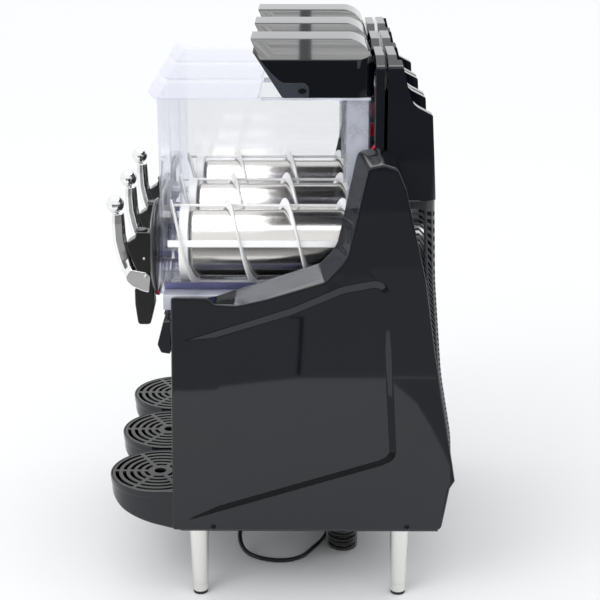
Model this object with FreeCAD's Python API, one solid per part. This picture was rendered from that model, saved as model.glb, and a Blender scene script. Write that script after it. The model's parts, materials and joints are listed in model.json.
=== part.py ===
import FreeCAD, Part
import math
import os
from FreeCAD import Matrix, Placement, Vector

# Three-bowl frozen drink dispenser, millimetres.
# +Z is up, -Y is the front with the taps, X runs across the three bowls.
# The origin is on the floor under the middle of the machine.

# ---------- driving dimensions ----------
BOWL_X = {"right": 160.0, "centre": 0.0, "left": -160.0}

BODY_HALF = 236.0            # inner face of the side panels
PANEL_WALL_X = 266.0         # outer wall of the side panels
FIELD_X = 270.0              # raised field on the side panels
PANEL_THICK = 3.0
BODY_FRONT_Y = -148.0
FLOOR_PAN_Z = 120.5          # top of the base pan
PAN_THICK = 3.0

LEG_X = 232.0
LEG_FRONT_Y = -118.4
LEG_REAR_Y = 181.0
LEG_TOP_R = 14.3
LEG_BOTTOM_R = 11.5
FOOT_HEIGHT = 5.0

AXIS_Z = 530.0               # freezing cylinder and auger axis
CYLINDER_R = 49.0
CYLINDER_FRONT_Y = -125.0
FLANGE_R = 64.0
GASKET_R = 68.0
SHAFT_R = 8.0

AUGER_R = 66.0
AUGER_INNER_R = 51.5
AUGER_PITCH = 83.5
AUGER_FRONT_Y = -156.0
AUGER_REAR_Y = 108.0
BLADE_THICK = 5.0
BAR_R = 55.0

BOWL_HALF = 72.0
BOWL_WALL = 2.8
BOWL_FRONT_Y = -163.0
BOWL_REAR_Y = 129.0
BOWL_BASE_Z = 452.0
RIM_HALF = 73.0
RIM_TOP_Z = 753.0
RIM_THICK = 4.0

LID_HALF = 73.6
LID_WALL = 2.1
LID_BOTTOM_Z = 756.5         # stands on the clear cover's rails
LID_TOP_Z = 831.0
LID_FRONT_Y = -31.0
LID_REAR_Y = 134.0
LID_SHOULDER_Z = 808.0       # lower edge of the sloping facets
LID_CREST_HALF = 37.0
LID_PLAN_R = 25.0            # upright corners at the rear
FLAP_PIVOT = (35.6, 767.1)   # (Y, Z)
FLAP_PIN_R = 6.0

TAP_PIVOT = (-192.0, 484.0)  # (Y, Z)
TAP_HALF = 13.0
LEVER_HALF = 17.0
BALL_CENTRE = (-234.7, 588.5)
BALL_R = 13.0

TRAY_R = 76.0
TRAY_Y = -182.0
TRAY_TOP_Z = 168.0
TRAY_BOTTOM_Z = 101.0

HUMP_HALF = 235.5            # rear housing, between the side panels
HUMP_TOP_Z = 614.0
TOWER_HALF = 75.5
TOWER_FRONT_Y = 152.0
COLUMN_FRONT_Y = 135.5
COLUMN_REAR_Y = 147.5
COLUMN_TOP_Z = 810.0
COLUMN_CREST_HALF = 40.0
COLUMN_SHOULDER = 10.0       # how far the head falls towards its sides

SWITCH_SIZE = (20.0, 9.0)    # width and height of a rocker cap
SWITCH_PIVOT_R = 1.5

CORD_R = 3.5
CORD_GLAND = (60.0, -40.0)   # (X, Y)
GLAND_BOOT_Z = 90.0          # lower end of the tapered boot
HANK_BOX = (-14.0, 118.0, 74.0, 124.0)   # x0, x1, y0, y1
HANK_HIGH = 38.0
HANK_CORNER_R = 24.9
PLUG_END = (-93.0, 92.0, 12.3)   # where the cord enters the plug
PLUG_LONG = 46.0
PLUG_HALF = 17.0
PLUG_HIGH = 24.0
PIN_LONG = 19.0
PIN_R = 2.4
PIN_APART = 19.0


# ---------- shape helpers ----------
def box(x0, x1, y0, y1, z0, z1):
    return Part.makeBox(x1 - x0, y1 - y0, z1 - z0, Vector(x0, y0, z0))


def rod(radius, start, end):
    path = end - start
    return Part.makeCylinder(radius, path.Length, start, path)


def rod_y(radius, x, z, y0, y1):
    return rod(radius, Vector(x, y0, z), Vector(x, y1, z))


def rod_x(radius, y, z, x0, x1):
    return rod(radius, Vector(x0, y, z), Vector(x1, y, z))


def rod_z(radius, x, y, z0, z1):
    return rod(radius, Vector(x, y, z0), Vector(x, y, z1))


def corner_arc(before, corner, after, radius):
    """Where a rounded corner starts, its middle and where it ends."""
    back = (before - corner).normalize()
    ahead = (after - corner).normalize()
    half = back.getAngle(ahead) / 2
    reach = radius / math.tan(half)
    middle = corner + (back + ahead).normalize() * (radius / math.sin(half) - radius)
    return corner + back * reach, middle, corner + ahead * reach


def outline(corners, place):
    """Closed wire through corners given as (u, v) or (u, v, radius)."""
    flat = [Vector(c[0], c[1], 0) for c in corners]
    count = len(corners)
    stops = []
    for i in range(count):
        radius = corners[i][2] if len(corners[i]) > 2 else 0
        if radius > 0:
            stops.append(corner_arc(flat[i - 1], flat[i], flat[(i + 1) % count], radius))
        else:
            stops.append((flat[i], None, flat[i]))
    edges = []
    for i in range(count):
        start, middle, end = stops[i]
        if middle is not None:
            edges.append(Part.Arc(place(start), place(middle), place(end)).toShape())
        following = stops[(i + 1) % count][0]
        if (following - end).Length > 1e-6:
            edges.append(Part.LineSegment(place(end), place(following)).toShape())
    return Part.Wire(edges)


def on_x(x):
    """Places (u, v) as (Y, Z) in the plane at x."""
    return lambda p: Vector(x, p.x, p.y)


def on_y(y):
    """Places (u, v) as (X, Z) in the plane at y."""
    return lambda p: Vector(p.x, y, p.y)


def on_z(z):
    """Places (u, v) as (X, Y) in the plane at z."""
    return lambda p: Vector(p.x, p.y, z)


def plate_x(corners, x0, x1):
    return Part.Face(outline(corners, on_x(x0))).extrude(Vector(x1 - x0, 0, 0))


def plate_y(corners, y0, y1):
    return Part.Face(outline(corners, on_y(y0))).extrude(Vector(0, y1 - y0, 0))


def plate_z(corners, z0, z1):
    return Part.Face(outline(corners, on_z(z0))).extrude(Vector(0, 0, z1 - z0))


def inset(corners, gap):
    """The same anticlockwise outline moved inwards by gap."""
    flat = [Vector(c[0], c[1], 0) for c in corners]
    count = len(corners)
    moved = []
    for i in range(count):
        back = (flat[i] - flat[i - 1]).normalize()
        ahead = (flat[(i + 1) % count] - flat[i]).normalize()
        inward_back = Vector(-back.y, back.x, 0)
        inward_ahead = Vector(-ahead.y, ahead.x, 0)
        shift = (inward_back + inward_ahead) * (gap / (1 + inward_back.dot(inward_ahead)))
        point = flat[i] + shift
        if len(corners[i]) > 2:
            turn = back.x * ahead.y - back.y * ahead.x
            radius = corners[i][2] - gap if turn > 0 else corners[i][2] + gap
            moved.append((point.x, point.y, max(radius, 1.0)))
        else:
            moved.append((point.x, point.y))
    return moved


def loft_x(corners0, x0, corners1, x1):
    wires = [outline(corners0, on_x(x0)), outline(corners1, on_x(x1))]
    return Part.makeLoft(wires, True, True)


def fuse(shapes):
    return shapes[0].fuse(shapes[1:]).removeSplitter()


def mirrored(shape):
    return shape.mirror(Vector(0, 0, 0), Vector(1, 0, 0))


def moved(shape, x, y=0.0, z=0.0):
    copy = shape.copy()
    copy.translate(Vector(x, y, z))
    return copy


def group(shapes):
    return Part.makeCompound(shapes)


def per_bowl(shape):
    """One copy of a centred shape behind each bowl."""
    return group([moved(shape, x) for x in BOWL_X.values()])


# ---------- body shell ----------
PANEL_LOW_Y = -155.0         # the front edge leans forward towards the bottom
PANEL_INNER = [
    (PANEL_LOW_Y, FLOOR_PAN_Z, 4), (240, FLOOR_PAN_Z, 9), (245, 150, 8), (251, 188, 5),
    (258.2, 200, 3), (254, 226, 30), (224, 398, 90), (208, 506, 90), (178, 637, 30),
    (163, 679, 9), (140, 688, 14), (112, 684, 12), (94, 596, 60), (84, 548, 40),
    (60, 523, 20), (-16, 497.5, 60), (-56, 484.5, 25), (-86, 474, 8), (-98, 472.4, 6), (BODY_FRONT_Y, 472, 5),
]
PANEL_OUTER = [
    (PANEL_LOW_Y, FLOOR_PAN_Z, 4), (240, FLOOR_PAN_Z, 9), (245, 150, 8), (251, 188, 5),
    (258.2, 200, 3), (254, 226, 30), (224, 398, 90), (208, 506, 90), (178, 637, 30),
    (166, 666, 9), (147, 672, 10), (126, 668, 8), (109, 590, 60), (98, 539, 40),
    (68, 505, 20), (-16, 479, 60), (-56, 470, 25), (-86, 471.5, 8), (-98, 481, 6), (BODY_FRONT_Y, 481.5, 5),
]
FIELD = [
    (-140, 134, 8), (150, 225, 24), (173, 236, 24), (163, 400, 200), (158, 512, 22),
    (91, 499, 60), (19, 467, 120), (-140, 416, 6),
]
FIELD_SLOPE = 11.0
FIELD_FRONT = ((-80, 164.4, 8), (-80, 423.7, 6))   # where the front's long slope reaches full height
SCREW_Y = [-95.0, 190.0]
SCREW_Z = 126.5


def side_panel():
    """Right side panel: a moulded shell, open towards the machine."""
    shell = loft_x(PANEL_INNER, BODY_HALF, PANEL_OUTER, PANEL_WALL_X)
    field_top = [FIELD_FRONT[0]] + inset(FIELD, FIELD_SLOPE)[1:-1] + [FIELD_FRONT[1]]
    field = loft_x(FIELD, PANEL_WALL_X - 0.5, field_top, FIELD_X)
    hollow = loft_x(
        inset(PANEL_INNER, PANEL_THICK), BODY_HALF + PANEL_THICK,
        inset(PANEL_OUTER, PANEL_THICK), PANEL_WALL_X - PANEL_THICK,
    )
    window = box(BODY_HALF - 1, BODY_HALF + 8, -130, 210, 135, 430)
    shell = shell.fuse(field).cut(hollow).cut(window)
    for y in SCREW_Y:
        shell = shell.cut(rod_x(2.0, y, SCREW_Z, PANEL_WALL_X - 5, PANEL_WALL_X + 1))
    return shell


def panel_screws():
    screws = []
    for y in SCREW_Y:
        shank = rod_x(2.0, y, SCREW_Z, PANEL_WALL_X - 5, PANEL_WALL_X)
        head = rod_x(4.0, y, SCREW_Z, PANEL_WALL_X, PANEL_WALL_X + 1.8)
        screw = shank.fuse(head)
        screws += [screw, mirrored(screw)]
    return group(screws)


def base_pan():
    """Folded steel tray that the legs and the compressor are bolted to."""
    z0 = FLOOR_PAN_Z - PAN_THICK
    floor = box(-262, 262, TRAY_BACK_Y + 0.5, 236, z0, FLOOR_PAN_Z)
    lip = 18.0
    edge = BODY_HALF - 1.0
    right = box(edge - 2, edge, -136, 148, z0 + 1, z0 + lip)
    sides = [right, mirrored(right)]
    outlet = rod_z(9.0, CORD_GLAND[0], CORD_GLAND[1], z0 - 1, FLOOR_PAN_Z + 1)
    pan = fuse([floor] + sides).cut(outlet)
    for x, y in leg_places():
        pan = pan.cut(rod_z(4.2, x, y, z0 - 1, FLOOR_PAN_Z + 1))
    return pan


def leg_places():
    return [(x, y) for x in (-LEG_X, LEG_X) for y in (LEG_FRONT_Y, LEG_REAR_Y)]


def legs():
    """Tapered steel legs, each with the stud that clamps it to the pan."""
    top = FLOOR_PAN_Z - PAN_THICK
    shapes = []
    for x, y in leg_places():
        tube = Part.makeCone(
            LEG_BOTTOM_R, LEG_TOP_R, top - FOOT_HEIGHT, Vector(x, y, FOOT_HEIGHT), Vector(0, 0, 1))
        line = rod_z(LEG_BOTTOM_R + 3, x, y, 18.0, 18.8).cut(rod_z(LEG_BOTTOM_R - 0.4, x, y, 17, 20))
        stud = rod_z(4.0, x, y, top - 1, FLOOR_PAN_Z)
        shapes.append(tube.cut(line).fuse(stud))
    return group(shapes)


def levelling_feet():
    feet = []
    for x, y in leg_places():
        pad = rod_z(LEG_BOTTOM_R - 0.6, x, y, 0, FOOT_HEIGHT)
        rim = [e for e in pad.Edges if e.BoundBox.ZMax < 1 and e.Length > 20]
        feet.append(pad.makeFillet(1.5, rim))
    return group(feet)


FASCIA_Y = -142.0
DECK_Z = 448.0
SHEET = 2.0


def front_deck():
    """Folded sheet: fascia behind the trays, then the deck under the bowls."""
    edge = BODY_HALF - 0.3
    fascia = box(-edge, edge, FASCIA_Y, FASCIA_Y + SHEET, FLOOR_PAN_Z, DECK_Z)
    deck = box(-edge, edge, BODY_FRONT_Y - 1, 135, DECK_Z - SHEET, DECK_Z)
    return fascia.fuse(deck).removeSplitter()


CONSOLE_FACE_TOP = (-160.0, 444.0)
CONSOLE_FACE_LOW = (-169.0, 410.0)
CONSOLE_HALF = 262.0


def console_tilt(shape):
    """Turns a piece made upright at the origin onto the sloping console face."""
    rise = CONSOLE_FACE_TOP[1] - CONSOLE_FACE_LOW[1]
    run = CONSOLE_FACE_TOP[0] - CONSOLE_FACE_LOW[0]
    copy = shape.copy()
    copy.rotate(Vector(0, 0, 0), Vector(1, 0, 0), -math.degrees(math.atan2(run, rise)))
    middle_y = (CONSOLE_FACE_TOP[0] + CONSOLE_FACE_LOW[0]) / 2
    middle_z = (CONSOLE_FACE_TOP[1] + CONSOLE_FACE_LOW[1]) / 2
    copy.translate(Vector(0, middle_y, middle_z))
    return copy


def control_console():
    """Sloping switch strip across the front, under the bowls."""
    outside = [
        (-150, 400), (-150, 444), (CONSOLE_FACE_TOP[0], CONSOLE_FACE_TOP[1], 2),
        (CONSOLE_FACE_LOW[0], CONSOLE_FACE_LOW[1], 5), (-164, 398, 3), (-152, 396),
    ]
    strip = plate_x(outside, -CONSOLE_HALF, CONSOLE_HALF)
    half_wide, half_high = (size / 2 + 1 for size in SWITCH_SIZE)
    pocket = console_tilt(box(-half_wide, half_wide, -3, 6.5, -half_high, half_high))
    for x in BOWL_X.values():
        strip = strip.cut(moved(pocket, x))
    return strip


def mode_switch():
    """Rocker switch cap with a stub of its pivot at each end, in the console face."""
    half_wide, half_high = (size / 2 for size in SWITCH_SIZE)
    profile = [(-3.2, -half_high, 1), (4, -3), (4, 3), (-3.2, half_high, 1), (-1.6, 0, 12)]
    cap = plate_x(profile, -half_wide, half_wide)
    pivot = rod_x(SWITCH_PIVOT_R, 0, 0, -half_wide - 0.7, half_wide + 0.7)
    return console_tilt(cap.fuse(pivot))


# ---------- rear housing ----------
HUMP_PROFILE = [
    (232, FLOOR_PAN_Z), (243, FLOOR_PAN_Z + 8, 4), (249, 186, 20), (257, 250, 60), (255, 296, 60),
    (238, 393, 200), (226, 528, 200), (221, HUMP_TOP_Z), (150, HUMP_TOP_Z), (150, FLOOR_PAN_Z),
]
SLOT_PITCH = 23.0


def hump_solid(gap):
    """Rear housing filled in, smaller by gap on every side."""
    profile = plate_x(inset(HUMP_PROFILE, gap), -HUMP_HALF + gap, HUMP_HALF - gap)
    round_r = 25.0 - gap
    edge = HUMP_HALF - gap
    plan = plate_z([
        (-edge, 140), (edge, 140), (edge, 262, round_r), (-edge, 262, round_r),
    ], 100, 640)
    return profile.common(plan)


def rear_grille():
    """Louvred sheet around the back of the machine, open at the front."""
    sheet = hump_solid(0).cut(hump_solid(1.6))
    sheet = sheet.cut(box(-HUMP_HALF + 1.6, HUMP_HALF - 1.6, 140, 153, FLOOR_PAN_Z + 2, HUMP_TOP_Z - 1.6))
    slots = []
    z = 300.0
    while z < HUMP_TOP_Z - 20:
        for x in (-150.0, 0.0, 150.0):
            slots.append(box(x - 62, x + 62, 200, 270, z, z + 9))
        z += SLOT_PITCH
    return sheet.cut(group(slots))


def head_outline(base_z, half_gap):
    """Front view of a column: straight sides under a gently crowned head."""
    half = TOWER_HALF - half_gap
    top = COLUMN_TOP_Z - half_gap
    shoulder = top - COLUMN_SHOULDER
    return [
        (-half, base_z), (half, base_z), (half, shoulder, 5), (COLUMN_CREST_HALF, top, 20),
        (-COLUMN_CREST_HALF, top, 20), (-half, shoulder, 5),
    ]


def column_front():
    """Wall between a bowl and its rear cover; the bowl seals against it."""
    wall = plate_y(head_outline(449.0, 0.5), COLUMN_FRONT_Y, COLUMN_REAR_Y)
    return wall.cut(rod_y(SHAFT_R + 2, 0, AXIS_Z, COLUMN_FRONT_Y - 1, COLUMN_REAR_Y + 1))


TOWER_CHEEK = 19.5
TOWER_WALL = 2.5
TOWER_SIDE = [
    (TOWER_FRONT_Y, HUMP_TOP_Z), (221, HUMP_TOP_Z), (213.5, 733, 3), (184.5, 748, 28),
    (169, 812, 5), (TOWER_FRONT_Y, 814, 3),
]
TOWER_MIDDLE = [
    (TOWER_FRONT_Y, HUMP_TOP_Z), (205, HUMP_TOP_Z), (203, 684, 6), (168, 692, 10), (164, 814),
    (TOWER_FRONT_Y, 814),
]


def rear_tower():
    """Tall cover behind one bowl: two raised cheeks with a lower hollow box between them."""
    inner = TOWER_HALF - TOWER_CHEEK
    cheeks = plate_x(TOWER_SIDE, -TOWER_HALF, TOWER_HALF)
    cheeks = cheeks.cut(box(-inner, inner, 140, 240, 600, 830))
    outside = cheeks.fuse(plate_x(TOWER_MIDDLE, -inner, inner))
    outside = outside.common(plate_y(head_outline(HUMP_TOP_Z, 0), 150, 225))
    plan = [
        (-TOWER_HALF, 140), (TOWER_HALF, 140), (TOWER_HALF, 221.5, 9), (-TOWER_HALF, 221.5, 9),
    ]
    outside = outside.common(plate_z(plan, 600, 830))
    space = plate_x(inset(TOWER_MIDDLE, TOWER_WALL), 1 - inner, inner - 1)
    space = space.common(plate_y(head_outline(HUMP_TOP_Z - 10, TOWER_WALL), 150, 225))
    space = space.fuse(box(1 - inner, inner - 1, TOWER_FRONT_Y + 3, 200, HUMP_TOP_Z - 1, HUMP_TOP_Z + 4))
    return outside.cut(space)


def bowl_catch():
    """Red keeper on each side of a column that a bowl's ears snap behind."""
    catches = []
    for side in (-1, 1):
        body = plate_x([(130.5, 673), (135.5, 673), (135.5, 692), (130.5, 688, 2)], -1.5, 1.5)
        catches.append(moved(body, side * 73.5))
    return catches


# ---------- freezing parts ----------
def evaporator():
    """Cold cylinder with a closed nose and the flange that fills the bowl's back."""
    skin = rod_y(CYLINDER_R, 0, AXIS_Z, CYLINDER_FRONT_Y, 122)
    flange = rod_y(FLANGE_R, 0, AXIS_Z, 120, COLUMN_FRONT_Y)
    space = rod_y(CYLINDER_R - 2, 0, AXIS_Z, CYLINDER_FRONT_Y + 3, COLUMN_FRONT_Y - 4)
    bore = rod_y(SHAFT_R + 0.05, 0, AXIS_Z, CYLINDER_FRONT_Y - 1, COLUMN_FRONT_Y + 1)
    return skin.fuse(flange).cut(space).cut(bore)


def bowl_gasket():
    ring = rod_y(GASKET_R, 0, AXIS_Z, 121, COLUMN_FRONT_Y)
    return ring.cut(rod_y(FLANGE_R, 0, AXIS_Z, 120, COLUMN_FRONT_Y + 1))


def gearmotor():
    """Motor, gearbox and the long shaft that turns the auger."""
    gearbox = box(-38, 38, 153, 178, AXIS_Z - 38, AXIS_Z + 38)
    motor = rod_y(29, 0, AXIS_Z, 178, 214)
    shaft = rod_y(SHAFT_R, 0, AXIS_Z, -146, 154)
    return fuse([gearbox, motor, shaft])


def helix_blade():
    """Rectangular ribbon swept along the auger's screw line, axis along +Z."""
    middle_r = (AUGER_R + AUGER_INNER_R) / 2
    half_width = (AUGER_R - AUGER_INNER_R) / 2
    length = AUGER_REAR_Y - AUGER_FRONT_Y - BLADE_THICK
    path = Part.makeHelix(AUGER_PITCH, length, middle_r)
    half_thick = BLADE_THICK / 2
    section = Part.makePolygon([
        Vector(middle_r - half_width, 0, -half_thick), Vector(middle_r + half_width, 0, -half_thick + 1),
        Vector(middle_r + half_width, 0, half_thick - 1), Vector(middle_r - half_width, 0, half_thick),
        Vector(middle_r - half_width, 0, -half_thick),
    ])
    return Part.Wire(path.Edges).makePipeShell([section], True, True)


def auger():
    """Plastic scraper: screw blade, four bars, and a spoked nose on the shaft."""
    blade = helix_blade()
    blade.Placement = Placement(Matrix(
        0, 1, 0, 0,
        0, 0, 1, AUGER_FRONT_Y + BLADE_THICK / 2,
        1, 0, 0, AXIS_Z,
        0, 0, 0, 1,
    ))
    parts = [blade]
    for turn in (75, 165, 255, 345):
        bar = box(-5.5, 5.5, AUGER_FRONT_Y + 1, AUGER_REAR_Y, BAR_R - 2, BAR_R + 2)
        spoke = box(-5.5, 5.5, -140, -129, 12, BAR_R)
        for piece in (bar, spoke):
            piece.rotate(Vector(0, 0, 0), Vector(0, 1, 0), turn)
            piece.translate(Vector(0, 0, AXIS_Z))
            parts.append(piece)
    ring = rod_y(BAR_R + 1.5, 0, AXIS_Z, -140, -127).cut(rod_y(BAR_R - 9, 0, AXIS_Z, -141, -126))
    nose = rod_y(15, 0, AXIS_Z, -149, -127)
    parts += [ring, nose]
    return fuse(parts).cut(rod_y(SHAFT_R + 0.3, 0, AXIS_Z, -146.3, -120))


# ---------- bowl ----------
def bowl():
    """Clear bowl: straight walls over a half-round trough, on a short skirt."""
    inner = BOWL_HALF - BOWL_WALL
    front = BOWL_FRONT_Y + BOWL_WALL
    rear = BOWL_REAR_Y - BOWL_WALL
    outside = box(-BOWL_HALF, BOWL_HALF, BOWL_FRONT_Y, BOWL_REAR_Y, BOWL_BASE_Z, RIM_TOP_Z)
    rim = plate_z([
        (-RIM_HALF, -167, 8), (RIM_HALF, -167, 8), (RIM_HALF, 131.5, 3), (-RIM_HALF, 131.5, 3),
    ], RIM_TOP_Z - RIM_THICK, RIM_TOP_Z)
    boss = rod_y(69, 0, 525, -171.5, BOWL_FRONT_Y + 1)
    trough = rod_y(inner, 0, AXIS_Z, front, rear)
    upper = box(-inner, inner, front, rear, AXIS_Z, RIM_TOP_Z + 1)
    under = box(-inner, inner, front, rear, BOWL_BASE_Z - 1, AXIS_Z - 8)
    under = under.cut(rod_y(BOWL_HALF, 0, AXIS_Z, front - 1, rear + 1))
    shape = fuse([outside, rim, boss]).cut(fuse([trough, upper])).cut(under)
    shape = shape.cut(rod_y(GASKET_R + 0.4, 0, AXIS_Z, rear - 1, BOWL_REAR_Y + 1))
    shape = shape.cut(box(-66, 66, BOWL_FRONT_Y + 20, BOWL_REAR_Y + 9, BOWL_BASE_Z - 1, BOWL_BASE_Z + 6))
    outlet = rod_y(9, 0, 475, -180, front + 1)
    shape = shape.cut(outlet)
    ears = []
    for side in (-1, 1):
        ear = Part.makeCone(5, 9, 16, Vector(side * 71, 120.5, 660), Vector(0, 0, 1))
        ear = ear.common(box(-75.5, 75.5, 100, 129, 650, 690))
        ears.append(ear.cut(box(-71, 71, 100, 130, 650, 690)))
    return shape.fuse(ears).removeSplitter()


COVER_RAIL_IN = 68.8


def front_cover():
    """Clear lid over the front of the bowl, with a curled lip to lift it by and rails under the hood."""
    side = [
        (-21, RIM_TOP_Z), (-21, RIM_TOP_Z + 8, 1), (-23.5, RIM_TOP_Z + 8, 1), (-25.5, RIM_TOP_Z + 2.6, 2),
        (-160, RIM_TOP_Z + 2.6, 8), (-173, 767, 2), (-175.5, 766, 1), (-165, RIM_TOP_Z, 6),
    ]
    cover = plate_x(side, -RIM_HALF + 1, RIM_HALF - 1)
    rails = []
    for x in (-RIM_HALF, COVER_RAIL_IN):
        rails.append(box(x, x + RIM_HALF - COVER_RAIL_IN, -25, LID_REAR_Y - 5, RIM_TOP_Z, LID_BOTTOM_Z))
    return fuse([cover] + rails)


LID_FACE_TOP = (LID_FRONT_Y, 824.0)
LID_FACE_LOW = (10.5, LID_BOTTOM_Z)


def lid_solid(gap):
    """Hood filled in: crested cross-section cut by its side view."""
    side = [
        (LID_FACE_LOW[0] + gap * 2, LID_BOTTOM_Z - 1), (LID_REAR_Y - gap, LID_BOTTOM_Z - 1),
        (LID_REAR_Y - gap, LID_TOP_Z - gap, 37 - gap), (LID_FACE_TOP[0] + 6, LID_TOP_Z - gap, 3),
        (LID_FACE_TOP[0] + gap, LID_FACE_TOP[1] - gap, 2),
    ]
    half = LID_HALF - gap
    top = LID_TOP_Z - gap
    shoulder = LID_SHOULDER_Z - gap
    front = [
        (-half, LID_BOTTOM_Z), (half, LID_BOTTOM_Z), (half, shoulder, 3), (LID_CREST_HALF, top, 12),
        (-LID_CREST_HALF, top, 12), (-half, shoulder, 3),
    ]
    rear = LID_REAR_Y - gap
    plan_r = LID_PLAN_R - gap
    plan = [(-half, -60), (half, -60), (half, rear, plan_r), (-half, rear, plan_r)]
    bulk = plate_y(front, LID_FACE_TOP[0] - 10, LID_REAR_Y + 5)
    bulk = bulk.common(plate_z(plan, LID_BOTTOM_Z - 1, LID_TOP_Z + 1))
    return bulk.common(plate_x(side, -LID_HALF - 1, LID_HALF + 1))


def lid():
    """Black hood over the back of the bowl, open at the bottom and the front."""
    hood = lid_solid(0).cut(lid_solid(LID_WALL))
    mouth = plate_x([
        (LID_FACE_TOP[0] - 20, 818), (LID_FACE_LOW[0] - 22, LID_BOTTOM_Z - 2),
        (LID_FACE_LOW[0] + 9, LID_BOTTOM_Z - 2), (LID_FACE_TOP[0] + 9, 818),
    ], -LID_HALF + LID_WALL, LID_HALF - LID_WALL)
    trim = plate_x([
        (LID_FACE_TOP[0] - 20, 821.5), (LID_FACE_LOW[0] - 22, LID_BOTTOM_Z - 2),
        (LID_FACE_LOW[0] + 3.4, LID_BOTTOM_Z - 2), (LID_FACE_TOP[0] + 3.4, 821.5),
    ], -LID_HALF - 5, LID_HALF + 5)
    floor = box(-LID_HALF, LID_HALF, LID_FRONT_Y, LID_REAR_Y + 1, LID_BOTTOM_Z - 2, LID_BOTTOM_Z)
    hood = hood.cut(mouth).cut(trim).cut(floor)
    pin = rod_x(FLAP_PIN_R, FLAP_PIVOT[0], FLAP_PIVOT[1], LID_HALF - 1, LID_HALF + 2.6)
    return hood.fuse([pin, mirrored(pin)])


def refill_flap():
    """Sloping front door of the hood on two cheeks that turn on its pins."""
    face_profile = [
        (LID_FACE_TOP[0] - 0.5, 819), (LID_FACE_LOW[0] - 2.5, LID_BOTTOM_Z + 1),
        (LID_FACE_LOW[0], LID_BOTTOM_Z + 1), (LID_FACE_TOP[0] + 2.2, 819),
    ]
    face = plate_x(face_profile, -LID_HALF - 2, LID_HALF + 2)
    step_z = FLAP_PIVOT[1] + 9.7
    round_y = FLAP_PIVOT[0] + 9.2
    cheek = [
        (LID_FACE_TOP[0] - 0.5, 819), (LID_FACE_LOW[0] - 2.5, LID_BOTTOM_Z + 1),
        (round_y, LID_BOTTOM_Z + 1, 3), (round_y, step_z, 9), (8, step_z, 14), (-8, 792, 10),
    ]
    cheek_x = LID_HALF + 1.2
    cheeks = [plate_x(cheek, side * cheek_x - 0.8, side * cheek_x + 0.8) for side in (-1, 1)]
    hole = rod_x(FLAP_PIN_R + 0.05, FLAP_PIVOT[0], FLAP_PIVOT[1], -80, 80)
    inner = BOWL_HALF - BOWL_WALL - 1.5
    low = box(-LID_HALF - 0.4, LID_HALF + 0.4, -60, 60, 740, 780)
    low = low.cut(box(-inner, inner, -60, 60, RIM_TOP_Z, 781))
    return fuse([face.cut(low)] + cheeks).cut(hole)


# ---------- tap ----------
def tap_body():
    """Round front plate with the valve body, its spout and the lever's pin."""
    dome = Part.makeSphere(210, Vector(0, 0, 0))
    dome.translate(Vector(0, -184 + 210, 525))
    plate = rod_y(71, 0, 525, -190, -172).common(dome)
    body = plate_x([
        (-182, 437), (-182, 547), (-206, 547, 3), (-206, 540, 2), (-220, 532, 5), (-213, 510, 8),
        (-205, 492), (-205, 470), (-209.5, 462), (-209.5, 440), (-206, 409, 4), (-188, 409, 3),
    ], -TAP_HALF, TAP_HALF)
    body = fuse([body, plate])
    cavity = rod_z(6.5, 0, -197.5, 405, 560)
    inlet = rod_y(7, 0, 475, -198, -160)
    pin = rod_x(2.5, TAP_PIVOT[0], TAP_PIVOT[1], -LEVER_HALF - 1, LEVER_HALF + 1)
    pin = pin.cut(box(-TAP_HALF + 3, TAP_HALF - 3, -200, -180, 470, 500))
    return body.cut(fuse([cavity, inlet])).fuse(pin)


def tap_piston():
    """Plunger in the valve body, with the cap ring above it."""
    stem = rod_z(6.2, 0, -197.5, 452, 549)
    cap = rod_z(8.5, 0, -197.5, 547.5, 552)
    return fuse([stem, cap])


def tap_lever():
    """Curved chrome arm that straddles the valve body on the pin."""
    arm = plate_x([
        (-221.5, 566), (-221, 542, 60), (-213, 505, 30), (-203, 492, 6), (-190, 489, 8),
        (-184.8, 484, 4), (-188, 458.5, 4), (-213, 468, 30), (-231, 493, 40), (-240, 530, 80), (-240, 574),
    ], -LEVER_HALF, LEVER_HALF)
    slim = box(-30, 30, -260, -180, 500, 600).cut(box(-8.5, 8.5, -261, -179, 499, 601))
    gap = box(-TAP_HALF - 0.4, TAP_HALF + 0.4, -221.5, -170, 440, 560)
    stalk = rod(5.0, Vector(0, -230.2, 560), Vector(0, -233.5, 580))
    shape = fuse([arm.cut(slim).cut(gap), stalk])
    return shape.cut(rod_x(2.55, TAP_PIVOT[0], TAP_PIVOT[1], -30, 30))


def lever_knob():
    ball = Part.makeSphere(BALL_R, Vector(0, BALL_CENTRE[0], BALL_CENTRE[1]))
    return ball.cut(rod(5.0, Vector(0, -230.2, 560), Vector(0, -233.5, 580)))


# ---------- drip trays ----------
TRAY_BACK_Y = -143.0


def d_shape(radius, back_y, z0, z1):
    """Half-round front with straight sides running back."""
    front = rod_z(radius, 0, TRAY_Y, z0, z1).common(box(-radius, radius, -300, TRAY_Y, z0, z1))
    return front.fuse(box(-radius, radius, TRAY_Y, back_y, z0, z1)).removeSplitter()


TRAY_SIDE = [
    (TRAY_BACK_Y, TRAY_BOTTOM_Z), (TRAY_BACK_Y, TRAY_TOP_Z), (-264, TRAY_TOP_Z), (-264, 152.8),
    (-252, 136, 8), (-236, TRAY_BOTTOM_Z + 25.6, 16),
]


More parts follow.
